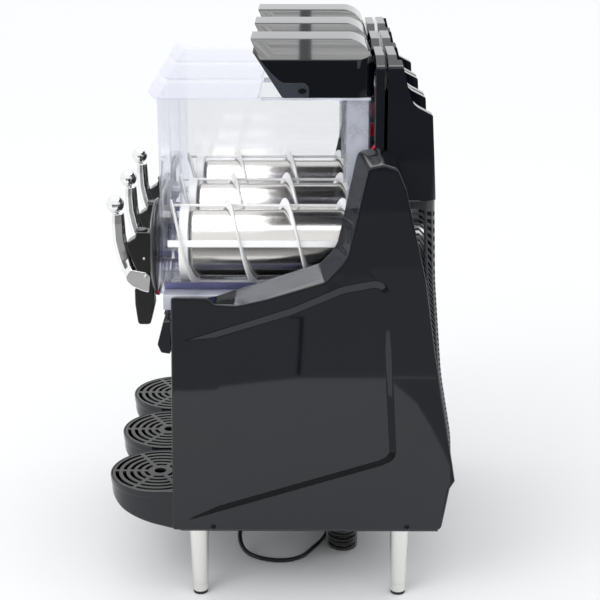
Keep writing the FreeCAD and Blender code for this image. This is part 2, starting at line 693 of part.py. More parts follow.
def drip_tray():
    """Deep cup with a half-round front and a bottom that falls towards the fascia."""
    cup = d_shape(TRAY_R - 1.5, TRAY_BACK_Y, TRAY_BOTTOM_Z, TRAY_TOP_Z - 8)
    cup = cup.common(plate_x(TRAY_SIDE, -TRAY_R, TRAY_R))
    rim = d_shape(TRAY_R, TRAY_BACK_Y, TRAY_TOP_Z - 9, TRAY_TOP_Z)
    hollow = d_shape(TRAY_R - 4.5, TRAY_BACK_Y - 3, TRAY_BOTTOM_Z, TRAY_TOP_Z)
    hollow = hollow.common(plate_x(inset(TRAY_SIDE, 3), -TRAY_R, TRAY_R))
    ledge = d_shape(TRAY_R - 2.5, TRAY_BACK_Y - 3, TRAY_TOP_Z - 8, TRAY_TOP_Z + 1)
    return cup.fuse(rim).cut(hollow).cut(ledge)


SLOT_RADII = [65.7, 54.6, 43.7, 32.9, 21.7]
SLOT_WIDTH = 5.4


def drip_grille():
    """Slotted disc with six ribs, lifted out of the tray."""
    top = TRAY_TOP_Z - 0.5
    disc = d_shape(TRAY_R - 3.2, TRAY_BACK_Y - 4, TRAY_TOP_Z - 7.6, top)
    disc = disc.cut(d_shape(TRAY_R - 6.0, TRAY_BACK_Y - 7, TRAY_TOP_Z - 8, TRAY_TOP_Z - 4))
    rings = [rod_z(9.0, 0, TRAY_Y, 150, 180)]
    for radius in SLOT_RADII:
        ring = rod_z(radius + SLOT_WIDTH / 2, 0, TRAY_Y, 150, 180)
        rings.append(ring.cut(rod_z(radius - SLOT_WIDTH / 2, 0, TRAY_Y, 149, 181)))
    slots = group(rings)
    for turn in range(0, 180, 60):
        rib = box(-3.2, 3.2, -TRAY_R, TRAY_R, 148, 182)
        rib = rib.cut(rod_z(10.0, 0, 0, 147, 183))
        rib.rotate(Vector(0, 0, 0), Vector(0, 0, 1), turn)
        rib.translate(Vector(0, TRAY_Y, 0))
        slots = slots.cut(rib)
    return disc.cut(slots)


# ---------- inside the cabinet ----------
def compressor():
    can = rod_z(62, -110, 60, 132, 262)
    top = [e for e in can.Edges if e.BoundBox.ZMin > 260]
    foot = box(-180, -40, 0, 120, FLOOR_PAN_Z, 133)
    return can.makeFillet(24, top).fuse(foot)


def condenser():
    """Finned block in front of the fan."""
    core = box(30, 210, 60, 64, 140, 320)
    fins = [box(30 + 12 * i, 31.5 + 12 * i, 50, 90, 140, 320) for i in range(16)]
    tubes = [rod_x(4, 80, z, 30, 210) for z in range(160, 310, 36)]
    stand = box(30, 210, 60, 90, FLOOR_PAN_Z, 141.5)
    return fuse([core, stand] + fins + tubes)


FAN_CENTRE = (120.0, 235.0)
FAN_Y = 108.0


def condenser_fan():
    """Five-bladed fan behind the condenser."""
    hub = rod_y(18, 0, 0, -8, 8)
    blades = [hub]
    for i in range(5):
        blade = box(-13, 13, -1, 1, 15, 75)
        blade.rotate(Vector(0, 0, 45), Vector(0, 0, 1), 28)
        blade.rotate(Vector(0, 0, 0), Vector(0, 1, 0), 72 * i)
        blades.append(blade)
    shape = fuse(blades).cut(rod_y(3.05, 0, 0, -9, 9))
    shape.translate(Vector(FAN_CENTRE[0], FAN_Y, FAN_CENTRE[1]))
    return shape


def fan_motor():
    """Motor on a bracket, its spindle through the fan's hub."""
    x, z = FAN_CENTRE
    can = rod_y(25, x, z, FAN_Y + 12, FAN_Y + 45)
    spindle = rod_y(3.0, x, z, FAN_Y - 10, FAN_Y + 13)
    post = box(x - 15, x + 15, FAN_Y + 20, FAN_Y + 35, FLOOR_PAN_Z, z)
    return fuse([can, spindle, post])


def electronics_box():
    case = box(-60, 60, -120, -60, 300, 420)
    shelf = box(-232, 232, -139.5, -120, 300, 303)
    return case.fuse(shelf).fuse(box(-60, 60, -122, -118, 300, 420)).removeSplitter()


# ---------- power cord ----------
CORD_ROUTE = [
    (60, -40, 90), (60, -43, 73), (64, -51, 56), (72, -60, 39), (84, -66, 24), (100, -64, 11),
    (117, -54, 4.6), (131, -38, 3.8), (140, -18, 3.8), (143, 3, 3.8), (138, 23, 3.8), (125, 39, 3.8),
    (107, 48, 3.8), (88, 58.5, 3.8), (70, 67, 3.8), (50, 73.5, 4),
]
TAIL_ROUTE = [
    (-2, 77.9, 34.4), (-20, 79.5, 32.5), (-39, 82, 27), (-57, 86, 20), (-75, 90, 14.5), PLUG_END,
]


def cord_path(route):
    """Straight runs joined by arcs as large as the runs allow."""
    points = [Vector(*p) for p in route]
    edges = []
    start = points[0]
    radii = []
    for before, corner, after in zip(points, points[1:], points[2:]):
        back = before - corner
        ahead = after - corner
        half = back.getAngle(ahead) / 2
        radius = 0.45 * min(back.Length, ahead.Length) * math.tan(half)
        radii.append(round(radius, 1))
        first, middle, last = corner_arc(before, corner, after, radius)
        edges.append(Part.LineSegment(start, first).toShape())
        edges.append(Part.Arc(first, middle, last).toShape())
        start = last
    edges.append(Part.LineSegment(start, points[-1]).toShape())
    print("cord bend radii", radii)
    return Part.Wire(edges)


def cord_tube(route):
    path = cord_path(route)
    first = Vector(*route[0])
    section = Part.Wire([Part.Circle(first, Vector(*route[1]) - first, CORD_R).toShape()])
    tube = path.makePipeShell([section], True, False)
    expected = math.pi * CORD_R ** 2 * path.Length
    print("cord length", round(path.Length, 1), "volume ratio", round(tube.Volume / expected, 4))
    return tube


def power_cord():
    """Lead from the gland down to the hank, and its tail from the hank to the plug."""
    hank = cord_hank()
    return group([cord_tube(CORD_ROUTE).cut(hank), cord_tube(TAIL_ROUTE).cut(hank)])


def cord_hank():
    """Outer shape of the folded and tied lead lying on the floor."""
    x0, x1, y0, y1 = HANK_BOX
    r = HANK_CORNER_R
    return plate_z([(x0, y0, r), (x1, y0, r), (x1, y1, r), (x0, y1, r)], 0, HANK_HIGH)


def cable_gland():
    """Flanged gland in the pan with a tapered boot around the lead."""
    x, y = CORD_GLAND
    bottom = FLOOR_PAN_Z - PAN_THICK
    flange_z = bottom - 3
    collar = rod_z(8.9, x, y, bottom - 1, FLOOR_PAN_Z + 4)
    flange = rod_z(12, x, y, flange_z, bottom)
    boot = Part.makeCone(4.6, 8.0, flange_z - GLAND_BOOT_Z, Vector(x, y, GLAND_BOOT_Z), Vector(0, 0, 1))
    return fuse([collar, flange, boot])


def plug():
    """Two-pin mains plug at the far end of the lead."""
    x, y, z = PLUG_END
    back = x - PLUG_LONG
    body = plate_z([
        (back, y - PLUG_HALF, 4), (x - 18, y - PLUG_HALF, 8), (x - 12, y - 6, 6), (x, y - 5),
        (x, y + 5), (x - 12, y + 6, 6), (x - 18, y + PLUG_HALF, 8), (back, y + PLUG_HALF, 4),
    ], 0, PLUG_HIGH)
    pins = [rod_x(PIN_R, y + side * PIN_APART / 2, z, back - PIN_LONG, back + 1) for side in (-1, 1)]
    return fuse([body] + pins)


# ---------- all nodes ----------
def static_nodes():
    panel = side_panel()
    column = column_front()
    tower = rear_tower()
    catches = []
    for x in BOWL_X.values():
        catches += [moved(c, x) for c in bowl_catch()]
    return {
        "side_panel_right": panel,
        "side_panel_left": mirrored(panel),
        "panel_screws": panel_screws(),
        "base_pan": base_pan(),
        "legs": legs(),
        "levelling_feet": levelling_feet(),
        "front_deck": front_deck(),
        "control_console": control_console(),
        "rear_grille": rear_grille(),
        "column_fronts": per_bowl(column),
        "rear_towers": per_bowl(tower),
        "bowl_catches": group(catches),
        "evaporators": per_bowl(evaporator()),
        "bowl_gaskets": per_bowl(bowl_gasket()),
        "gearmotors": per_bowl(gearmotor()),
        "compressor": compressor(),
        "condenser": condenser(),
        "condenser_fan": condenser_fan(),
        "fan_motor": fan_motor(),
        "electronics_box": electronics_box(),
        "cable_gland": cable_gland(),
        "power_cord": power_cord(),
        "cord_hank": cord_hank(),
        "plug": plug(),
    }


def bowl_nodes():
    """Pieces that every bowl has, centred on x = 0."""
    return {
        "bowl": bowl(),
        "lid": lid(),
        "front_cover": front_cover(),
        "refill_flap": refill_flap(),
        "auger": auger(),
        "tap_body": tap_body(),
        "tap_piston": tap_piston(),
        "tap_lever": tap_lever(),
        "lever_knob": lever_knob(),
        "drip_tray": drip_tray(),
        "drip_grille": drip_grille(),
        "mode_switch": mode_switch(),
    }


def write(name, shape):
    if not shape.isValid():
        print("NOT VALID", name)
    box_now = shape.BoundBox
    print("%-22s solids %2d  x %7.1f %7.1f  y %7.1f %7.1f  z %6.1f %6.1f" % (
        name, len(shape.Solids), box_now.XMin, box_now.XMax, box_now.YMin, box_now.YMax,
        box_now.ZMin, box_now.ZMax))
    shape.exportStep("parts/" + name + ".step")


def main():
    os.makedirs("parts", exist_ok=True)
    for name, shape in static_nodes().items():
        write(name, shape)
    for name, shape in bowl_nodes().items():
        for side, x in BOWL_X.items():
            write(name + "_" + side, moved(shape, x))


main()
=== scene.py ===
import bmesh
import bpy
import json
from math import acos, asin, atan2, copysign, cos, pi, radians, sin, sqrt, tan
from mathutils import Matrix, Vector


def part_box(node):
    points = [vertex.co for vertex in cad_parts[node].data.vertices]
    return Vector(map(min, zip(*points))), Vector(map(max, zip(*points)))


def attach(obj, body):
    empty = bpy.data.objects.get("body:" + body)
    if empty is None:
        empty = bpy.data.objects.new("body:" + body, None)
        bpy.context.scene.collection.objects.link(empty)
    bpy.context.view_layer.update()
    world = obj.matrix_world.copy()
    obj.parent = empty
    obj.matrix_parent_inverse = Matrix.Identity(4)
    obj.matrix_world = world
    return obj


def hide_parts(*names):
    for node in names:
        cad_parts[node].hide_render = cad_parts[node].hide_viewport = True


# Three-bowl frozen drink dispenser. The scene is in metres; +Z is up, -Y is the front with the taps.
# Shapes are drawn in millimetres and scaled by MM when a piece is finished.
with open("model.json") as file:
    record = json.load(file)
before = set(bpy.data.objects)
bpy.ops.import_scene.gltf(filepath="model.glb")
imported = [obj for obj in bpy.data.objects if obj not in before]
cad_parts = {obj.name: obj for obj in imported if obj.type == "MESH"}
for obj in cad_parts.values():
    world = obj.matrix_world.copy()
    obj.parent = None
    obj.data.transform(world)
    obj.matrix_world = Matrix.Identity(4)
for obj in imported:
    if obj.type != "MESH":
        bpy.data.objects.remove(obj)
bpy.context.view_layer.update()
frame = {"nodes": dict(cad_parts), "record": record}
nodes = frame["nodes"]

MM = 0.001
BODY_OF = {n: body for body, names in frame["record"]["behaviour"]["bodies"].items() for n in names}
SLOT_OF = {row["node"]: row["material_slot"] for row in frame["record"]["subparts"]}


def box_mm(node):
    """Lowest and highest corners of a CAD node, in millimetres."""
    low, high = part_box(node)
    return low / MM, high / MM


def middle(node):
    low, high = box_mm(node)
    return (low + high) / 2


def placed(name, data):
    """A new object in the scene."""
    thing = bpy.data.objects.new(name, data)
    bpy.context.scene.collection.objects.link(thing)
    return thing


SIDES = ("right", "centre", "left")
BOWL_X = {side: middle("bowl_" + side).x for side in SIDES}
PANEL_LOW, PANEL_HIGH = box_mm("side_panel_right")
AXIS_Z = middle("evaporators").z


# ---------- camera, floor and light ----------
CAMERA_AT = (2.1867, 0.0447, 1.1166)
CAMERA_DOWN = 18.38
CAMERA_TURN = 0.357
FOCAL_MM = 87.0
SENSOR_MM = 36.0
FLOOR_REACH = 20.0
WORLD_GLOW = 1.12
OVERHEAD_X = (-0.8, 0.9)
OVERHEAD_Z = 2.1
OVERHEAD_PARTS = {"overhead_front": (-1.1, 0.022), "overhead_rear": (0.05, 1.1)}   # lowest and highest y
TUBE_GLOW = 6.6
TUBES_PER_METRE = 110.0
# The dark wall: (low z, high z, glow) of its bands, and (x, y) along its foot.
CARD_LEVELS = [(0.0, 0.24, 0.46), (0.24, 0.36, 0.36), (0.36, 0.45, 0.24), (0.45, 0.68, 0.14)]
CARD_FOOT = [(0.98, -0.75), (1.12, -0.22), (1.192, 0.022), (1.195, 0.21), (1.195, 0.85), (1.1, 2.6)]
DARK_MAT = [
    (1.18, 0.229), (1.042, 0.268), (0.939, 0.2845), (0.84, 0.297), (0.5, 0.33), (0.5, 0.85), (1.19, 0.85),
]
MAT_Z = 0.002
# The lamp stand before the wall: (y, z) of each bar's ends, and half its width.
STAND_X = 1.165
STAND_BARS = [((0.023, 0.018), (0.031, 0.146), 0.0042), ((0.0175, 0.1425), (0.0175, 0.1465), 0.0135)]
KEY_AT = (1.9, -1.5, 2.2)
KEY_AIM = (0, 0, 0.4)
KEY_SIZE = 1.6
KEY_POWER = 22


def stand_facing(thing, place, ahead):
    """Puts a camera or light at a place, facing ahead."""
    thing.location = place
    thing.rotation_mode = "QUATERNION"
    thing.rotation_quaternion = ahead.to_track_quat("-Z", "Y")


def make_camera():
    data = bpy.data.cameras.new("camera")
    data.lens = FOCAL_MM
    data.sensor_width = SENSOR_MM
    data.clip_end = 60.0
    camera = placed("camera", data)
    down = radians(CAMERA_DOWN)
    turn = radians(CAMERA_TURN)
    ahead = Vector((-cos(turn) * cos(down), -sin(turn) * cos(down), -sin(down)))
    stand_facing(camera, CAMERA_AT, ahead)
    bpy.context.scene.camera = camera


def new_material(name):
    """An empty node material, its node tree and its output node."""
    material = bpy.data.materials.new(name)
    material.use_nodes = True
    tree = material.node_tree
    tree.nodes.clear()
    return material, tree, tree.nodes.new("ShaderNodeOutputMaterial")


def link(source, socket):
    """Joins two sockets of one node tree."""
    socket.id_data.links.new(source, socket)


def add_node(tree, kind, settings=None):
    """A shader node with values set on its own sockets."""
    node = tree.nodes.new("ShaderNode" + kind)
    for socket, value in (settings or {}).items():
        node.inputs[socket].default_value = value
    return node


def noise(tree, scale, detail, stretch=None):
    """Noise in the object's own coordinates."""
    place = add_node(tree, "TexCoord").outputs["Object"]
    if stretch:
        scaled = add_node(tree, "Mapping", {"Scale": stretch})
        link(place, scaled.inputs["Vector"])
        place = scaled.outputs["Vector"]
    cloud = add_node(tree, "TexNoise", {"Scale": scale, "Detail": detail})
    link(place, cloud.inputs["Vector"])
    return cloud.outputs["Fac"]


def spread(tree, source, start, end, low, high):
    """Goes from low to high as source goes from start to end."""
    span = add_node(tree, "MapRange", {"From Min": start, "From Max": end, "To Min": low, "To Max": high})
    link(source, span.inputs["Value"])
    return span.outputs["Result"]


def glow_material(name, strength, lines=0.0):
    """Even glow, or rows of tubes across X where lines, in rows per metre, is set."""
    material, tree, output = new_material(name)
    glow = add_node(tree, "Emission", {"Strength": strength})
    if lines:
        rows = noise(tree, 1.0, 2.0, (lines, 0.4, 1))
        link(spread(tree, rows, 0.42, 0.56, strength * 0.5, strength), glow.inputs["Strength"])
    link(glow.outputs["Emission"], output.inputs["Surface"])
    return material


def studio_sheet(name, corners, material):
    mesh = bpy.data.meshes.new(name)
    mesh.from_pydata(corners, [], [tuple(range(len(corners)))])
    sheet = placed(name, mesh)
    mesh.materials.append(material)
    return sheet


def reflections_only(sheet):
    for ray in ("camera", "diffuse", "shadow", "transmission", "volume_scatter"):
        setattr(sheet, "visible_" + ray, False)


def make_floor():
    material, tree, output = new_material("studio_floor")
    shader = add_node(tree, "BsdfPrincipled",
                      {"Base Color": (0.88, 0.885, 0.89, 1), "Roughness": 0.8, "Specular IOR Level": 0.1})
    link(shader.outputs["BSDF"], output.inputs["Surface"])
    r = FLOOR_REACH
    studio_sheet("studio_floor", [(-r, -r, 0), (r, -r, 0), (r, r, 0), (-r, r, 0)], material)


def make_studio():
    """White surroundings, a striped softbox overhead and a dark wall that only reflections see."""
    world = bpy.data.worlds.new("studio")
    bpy.context.scene.world = world
    world.use_nodes = True
    background = world.node_tree.nodes["Background"]
    background.inputs["Color"].default_value = (0.98, 0.99, 1.0, 1)
    background.inputs["Strength"].default_value = WORLD_GLOW
    tubes = glow_material("overhead_tubes", TUBE_GLOW, TUBES_PER_METRE)
    x0, x1 = OVERHEAD_X
    z = OVERHEAD_Z
    for name, (y0, y1) in OVERHEAD_PARTS.items():
        reflections_only(studio_sheet(name, [(x0, y0, z), (x1, y0, z), (x1, y1, z), (x0, y1, z)], tubes))
    for level, (z0, z1, strength) in enumerate(CARD_LEVELS):
        dark = glow_material("dark_wall_%d" % level, strength)
        for k, ((x0, y0), (x1, y1)) in enumerate(zip(CARD_FOOT, CARD_FOOT[1:])):
            corners = [(x0, y0, z0), (x1, y1, z0), (x1, y1, z1), (x0, y0, z1)]
            reflections_only(studio_sheet("dark_wall_%d_%d" % (level, k), corners, dark))
    mat = glow_material("dark_mat", CARD_LEVELS[0][2])
    reflections_only(studio_sheet("dark_mat", [(x, y, MAT_Z) for x, y in DARK_MAT], mat))
    stand = glow_material("lamp_stand", 0.0)
    for k, ((y0, z0), (y1, z1), wide) in enumerate(STAND_BARS):
        x = STAND_X
        corners = [(x, y0 - wide, z0), (x, y0 + wide, z0), (x, y1 + wide, z1), (x, y1 - wide, z1)]
        reflections_only(studio_sheet("stand_%d" % k, corners, stand))
    scene = bpy.context.scene
    scene.view_settings.view_transform = "Standard"
    scene.cycles.max_bounces = 24
    scene.cycles.transmission_bounces = 24
    scene.cycles.transparent_max_bounces = 96


def make_key_light():
    data = bpy.data.lights.new("key", "AREA")
    data.shape = "SQUARE"
    data.size = KEY_SIZE
    data.energy = KEY_POWER
    light = placed("key", data)
    stand_facing(light, KEY_AT, Vector(KEY_AIM) - Vector(KEY_AT))
    light.visible_glossy = False


# ---------- materials ----------
NOISE_LOW = 0.3      # noise seldom leaves these two values
NOISE_HIGH = 0.7
DRIFT_SCALE = 9.0
LOOKS = {}


def ramp(tree, source, low, high, start=NOISE_LOW, end=NOISE_HIGH):
    """Blends two colours as source goes from start to end."""
    shades = add_node(tree, "ValToRGB")
    for element, place, colour in zip(shades.color_ramp.elements, (start, end), (low, high)):
        element.position = place
        element.color = (*colour, 1)
    link(source, shades.inputs["Fac"])
    return shades.outputs["Color"]


def surface(name, base, rough, metal=0.0, vary=0.1, rough_drift=0.04, bump=0.0,
            grain=900.0, stretch=(1, 1, 1), depth=0.0004, specular=0.5):
    """Principled surface with slow colour and roughness drift and a fine grain, kept in LOOKS by name."""
    material, tree, output = new_material(name)
    LOOKS[name] = material
    shader = add_node(tree, "BsdfPrincipled", {"Metallic": metal, "Specular IOR Level": specular})
    drift = noise(tree, DRIFT_SCALE, 4.0)
    low = [max(c * (1 - vary), 0) for c in base]
    high = [min(c * (1 + vary), 1) for c in base]
    link(ramp(tree, drift, low, high), shader.inputs["Base Color"])
    smoothest = max(rough - rough_drift, 0.01)
    gloss = spread(tree, drift, NOISE_LOW, NOISE_HIGH, smoothest, rough + rough_drift)
    link(gloss, shader.inputs["Roughness"])
    if bump:
        raised = add_node(tree, "Bump", {"Strength": bump, "Distance": depth})
        link(noise(tree, grain, 3.0, stretch), raised.inputs["Height"])
        link(raised.outputs["Normal"], shader.inputs["Normal"])
    link(shader.outputs["BSDF"], output.inputs["Surface"])


def see_through(tree, output, body, share=0.5):
    """Mixes a transparent shader with body into the output; gives the two nodes."""
    through = add_node(tree, "BsdfTransparent")
    mix = add_node(tree, "MixShader", {"Fac": share})
    link(through.outputs["BSDF"], mix.inputs[1])
    link(body.outputs["BSDF"], mix.inputs[2])
    link(mix.outputs["Shader"], output.inputs["Surface"])
    return through, mix


def clear(name, face, edge):
    """Clear plastic: nearly unseen face on, tinted and shiny where it turns edge on."""
    material, tree, output = new_material(name)
    facing = add_node(tree, "LayerWeight", {"Blend": 0.5}).outputs["Facing"]
    shine = add_node(tree, "BsdfPrincipled",
                     {"Base Color": (0.9, 0.91, 0.95, 1), "Roughness": 0.02, "Metallic": 1.0})
    through, mix = see_through(tree, output, shine)
    link(ramp(tree, facing, face, edge, 0.35, 0.97), through.inputs["Color"])
    grazing = add_node(tree, "Math", {1: 4.0})
    grazing.operation = "POWER"
    link(facing, grazing.inputs[0])
    amount = add_node(tree, "Math", {1: 0.85, 2: 0.02})
    amount.operation = "MULTIPLY_ADD"
    link(grazing.outputs["Value"], amount.inputs[0])
    link(amount.outputs["Value"], mix.inputs["Fac"])
    return material


def milky(name, base, share):
    """Clear moulding that scatters part of the light it carries; also used for bands whose colour is painted
    refraction.
    """
    material, tree, output = new_material(name)
    body = add_node(tree, "BsdfPrincipled", {"Roughness": 0.15})
    shades = ramp(tree, noise(tree, 30.0, 2.0), [c * 0.75 for c in base], base)
    link(shades, body.inputs["Base Color"])
    see_through(tree, output, body, share)
    return material


BRUSHED_ALONG_Y = (1, 0.02, 1)
BRUSHED_UP = (1, 1, 0.02)

surface("body_plastic", (0.0042, 0.0052, 0.0082), 0.04, rough_drift=0.01, bump=0.02, grain=60.0,
        depth=0.00003)
surface("hood_plastic", (0.002, 0.003, 0.0048), 0.04, rough_drift=0.01)
surface("flap_plastic", (0.026, 0.03, 0.04), 0.22, bump=0.05)
LOOKS["clear_plastic"] = clear("clear_plastic", (0.998, 0.998, 0.999), (0.88, 0.885, 0.95))
surface("white_plastic", (0.94, 0.94, 0.93), 0.32, vary=0.015, bump=0.04)
surface("black_plastic", (0.0075, 0.0075, 0.0085), 0.2, bump=0.06)
surface("grey_plastic", (0.028, 0.028, 0.031), 0.3, bump=0.06)
surface("red_plastic", (0.52, 0.008, 0.02), 0.25, bump=0.03)
surface("chrome", (0.82, 0.82, 0.82), 0.1, metal=1.0, vary=0.02, rough_drift=0.03)
surface("leg_steel", (0.82, 0.81, 0.78), 0.34, metal=1.0, vary=0.03, bump=0.12, grain=1500.0,
        stretch=BRUSHED_UP)
surface("stainless", (0.72, 0.7, 0.67), 0.2, metal=1.0, vary=0.04, bump=0.1, grain=1200.0,
        stretch=BRUSHED_ALONG_Y)
surface("screw_steel", (0.02, 0.02, 0.022), 0.3, metal=1.0)
surface("painted_steel", (0.012, 0.013, 0.016), 0.3, bump=0.12)
surface("motor_metal", (0.45, 0.45, 0.46), 0.42, metal=1.0, bump=0.15)
surface("compressor_paint", (0.008, 0.008, 0.009), 0.28, bump=0.1)
surface("fin_aluminium", (0.68, 0.69, 0.7), 0.34, metal=1.0, bump=0.06)
surface("foot_rubber", (0.012, 0.012, 0.013), 0.7, bump=0.2)
surface("seal_rubber", (0.36, 0.37, 0.4), 0.55, bump=0.1)
surface("cord_rubber", (0.006, 0.006, 0.0065), 0.3, rough_drift=0.06, bump=0.08)
LEDGE_WHITE = milky("ledge_white", (0.72, 0.74, 0.82), 0.62)
# The next two colours are painted refraction: the grey of the bowl's rounded rear corners and the violet of
# its lower curve.
CORNER_REFRACTION_PAINT = milky("painted_corner_refraction", (0.7, 0.72, 0.79), 0.36)
VIOLET_REFRACTION_PAINT = milky("painted_violet_refraction", (0.19, 0.19, 0.4), 0.8)
surface("grille_grey", (0.02, 0.02, 0.021), 0.3, vary=0.06, bump=0.08)
surface("shadow_line", (0.006, 0.0065, 0.008), 0.3, specular=0.08)


# ---------- mesh helpers, in millimetres ----------
def rounded(corners, steps=6):
    """Closed outline from (u, v) or (u, v, radius) corners, each rounded one as an arc."""
    points = []
    count = len(corners)
    for i, corner in enumerate(corners):
        at = Vector(corner[:2])
        if len(corner) < 3:
            points.append(at)
            continue
        back = Vector(corners[i - 1][:2]) - at
        ahead = Vector(corners[(i + 1) % count][:2]) - at
        half = back.angle(ahead) / 2
        radius = min(corner[2], 0.499 * min(back.length, ahead.length) * tan(half))
        centre = at + (back.normalized() + ahead.normalized()).normalized() * (radius / sin(half))
        start = at + back.normalized() * (radius / tan(half)) - centre
        end = at + ahead.normalized() * (radius / tan(half)) - centre
        turn = pi - 2 * half
        for k in range(steps + 1):
            t = k / steps
            point = start * sin((1 - t) * turn) + end * sin(t * turn)
            points.append(centre + point / sin(turn))
    return points


def inset(corners, gap):
    """The same anticlockwise outline moved inwards by gap."""
    count = len(corners)
    result = []
    for i, corner in enumerate(corners):
        at = Vector(corner[:2])
        back = (at - Vector(corners[i - 1][:2])).normalized()
        ahead = (Vector(corners[(i + 1) % count][:2]) - at).normalized()
        inward = Vector((-back.y - ahead.y, back.x + ahead.x))
        point = at + inward * (gap / (1 + back.dot(ahead)))
        if len(corner) > 2:
            turn = back.x * ahead.y - back.y * ahead.x
            radius = corner[2] - gap if turn > 0 else corner[2] + gap
            result.append((point.x, point.y, max(radius, 0.6)))
        else:
            result.append((point.x, point.y))
    return result


def at_x(points, x):
    return [Vector((x, p[0], p[1])) for p in points]


def at_y(points, y):
    return [Vector((p[0], y, p[1])) for p in points]


def at_z(points, z):
    return [Vector((p[0], p[1], z)) for p in points]


def skin(work, rings, closed=True, first=False, last=False):
    """Quads between rings of points, with the first and last ring filled if asked."""
    rows = [[work.verts.new(p) for p in ring] for ring in rings]
    count = len(rows[0])
    for a, b in zip(rows, rows[1:]):
        for i in range(count if closed else count - 1):
            j = (i + 1) % count
            work.faces.new((a[i], a[j], b[j], b[i]))
    if first:
        work.faces.new(rows[0][::-1])
    if last:
        work.faces.new(rows[-1])
    return rows


def plate(work, corners, where, low, high, steps=6):
    """Flat plate between two planes; where is at_x, at_y or at_z."""
    points = rounded(corners, steps)
    skin(work, [where(points, low), where(points, high)], first=True, last=True)


def lathe(work, profile, centre=(0, 0, 0), axis="Z", steps=64, closed=False):
    """Turns (radius, height) points about an axis through centre; closed joins the last to the first."""
    rings = []
    for radius, height in profile:
        ring = []
        for k in range(steps):
            angle = 2 * pi * k / steps
            u = radius * cos(angle)
            v = radius * sin(angle)
            point = {"Z": (u, v, height), "Y": (u, height, v), "X": (height, u, v)}[axis]
            ring.append(Vector(centre) + Vector(point))
        rings.append(ring)
    if closed:
        rings.append(rings[0])
    skin(work, rings)


def arc_profile(centre, radius, start, end, steps=6):
    """Points of an arc in a (radius, height) profile, angles in degrees."""
    points = []
    for k in range(steps + 1):
        angle = radians(start + (end - start) * k / steps)
        points.append((centre[0] + radius * cos(angle), centre[1] + radius * sin(angle)))
    return points


def polar(radius, height, angle):
    """(u, v) at an angle in degrees on a circle about (0, height); a negative radius mirrors it."""
    turn = radians(angle)
    return radius * cos(turn), height + abs(radius) * sin(turn)


def squarish(angle):
    """Cosine and sine of an angle in degrees, pushed out from a circle towards a square."""
    c = cos(radians(angle))
    s = sin(radians(angle))
    return copysign(abs(c) ** 0.7, c), copysign(abs(s) ** 0.7, s)


def smoothed(outline, at, reach):
    """Height of an outline of (place, height) points at a place, averaged over reach each way."""
    total = 0.0
    shifts = (-reach, -reach / 2, 0, reach / 2, reach)
    for shift in shifts:
        level = min(max(at + shift, outline[0][0]), outline[-1][0])
        for (u0, v0), (u1, v1) in zip(outline, outline[1:]):
            if u0 <= level <= u1:
                total += v0 + (v1 - v0) * (level - u0) / (u1 - u0)
                break
    return total / len(shifts)


def new_object(name, work):
    """Welds, turns the faces outwards and scales a shape drawn in millimetres."""
    bmesh.ops.remove_doubles(work, verts=work.verts, dist=0.0005)
    bmesh.ops.recalc_face_normals(work, faces=work.faces)
    mesh = bpy.data.meshes.new(name)
    work.to_mesh(mesh)
    work.free()
    mesh.transform(Matrix.Scale(MM, 4))
    return placed(name, mesh)


def soften(piece, width, segments=3, angle=30):
    """Rounds edges sharper than angle."""
    bevel = piece.modifiers.new("edges", "BEVEL")
    bevel.width = width * MM
    bevel.segments = segments
    bevel.limit_method = "ANGLE"
    bevel.angle_limit = radians(angle)
    bevel.miter_outer = "MITER_ARC"


def shade(piece, angle=40):
    """Smooth shading that keeps flat faces flat and edges sharper than angle crisp."""
    piece.data.shade_smooth()
    piece.data.set_sharp_from_angle(angle=radians(angle))
    weights = piece.modifiers.new("normals", "WEIGHTED_NORMAL")
    weights.keep_sharp = True


def thicken(piece, amount):
    solid = piece.modifiers.new("thickness", "SOLIDIFY")
    solid.thickness = amount * MM
    solid.offset = -1.0
    solid.use_even_offset = True


def cast(piece, voxel, polish):
    """Blends overlapping solids into one skin with rounded corners, like a casting."""
    remesh = piece.modifiers.new("casting", "REMESH")
    remesh.mode = "VOXEL"
    remesh.voxel_size = voxel * MM
    remesh.use_smooth_shade = True
    smooth = piece.modifiers.new("polish", "SMOOTH")
    smooth.factor = 0.5
    smooth.iterations = polish


def finish_piece(piece, node, slot=None, replaced=None, material=None):
    """Material, body and record slot of a piece that stands for a CAD node."""
    slot = slot or SLOT_OF[node]
    piece.data.materials.clear()
    piece.data.materials.append(material or LOOKS[slot])
    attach(piece, BODY_OF[node])
    for name in [node] if replaced is None else replaced:
        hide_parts(name)
    return piece


def for_each_bowl(piece, stem, **options):
    """The piece at the right-hand bowl and copies of it at the other two."""
    name = piece.name
    copies = [piece, piece.copy(), piece.copy()]
    for side, copy in zip(SIDES, copies):
        if copy is not piece:
            bpy.context.scene.collection.objects.link(copy)
        copy.name = name + "_" + side
        copy.location.x = BOWL_X[side] * MM
    for side, copy in zip(SIDES, copies):
        finish_piece(copy, stem + "_" + side, **options)


def bowl_pieces(name, work, stem, angle=40, **options):
    """A shape drawn for one bowl, shaded and repeated at all three."""
    piece = new_object(name, work)
    shade(piece, angle)
    for_each_bowl(piece, stem, **options)


def single_piece(name, work, node, angle=40, **options):
    """A shape drawn in its place, shaded and finished."""
    piece = new_object(name, work)
    shade(piece, angle)
    return finish_piece(piece, node, **options)


def refined(node, bevel=0.5, segments=2, material=None):
    """A cleaned copy of a CAD node with softly rounded edges, standing for that node."""
    work = bmesh.new()
    work.from_mesh(nodes[node].data)
    bmesh.ops.remove_doubles(work, verts=work.verts, dist=2e-6)
    bmesh.ops.dissolve_limit(work, angle_limit=radians(0.6), verts=work.verts, edges=work.edges)
    mesh = bpy.data.meshes.new(node + "_skin")
    work.to_mesh(mesh)
    work.free()
    piece = placed(node + "_skin", mesh)
    soften(piece, bevel, segments, 35)
    shade(piece)
    return finish_piece(piece, node, material=material)


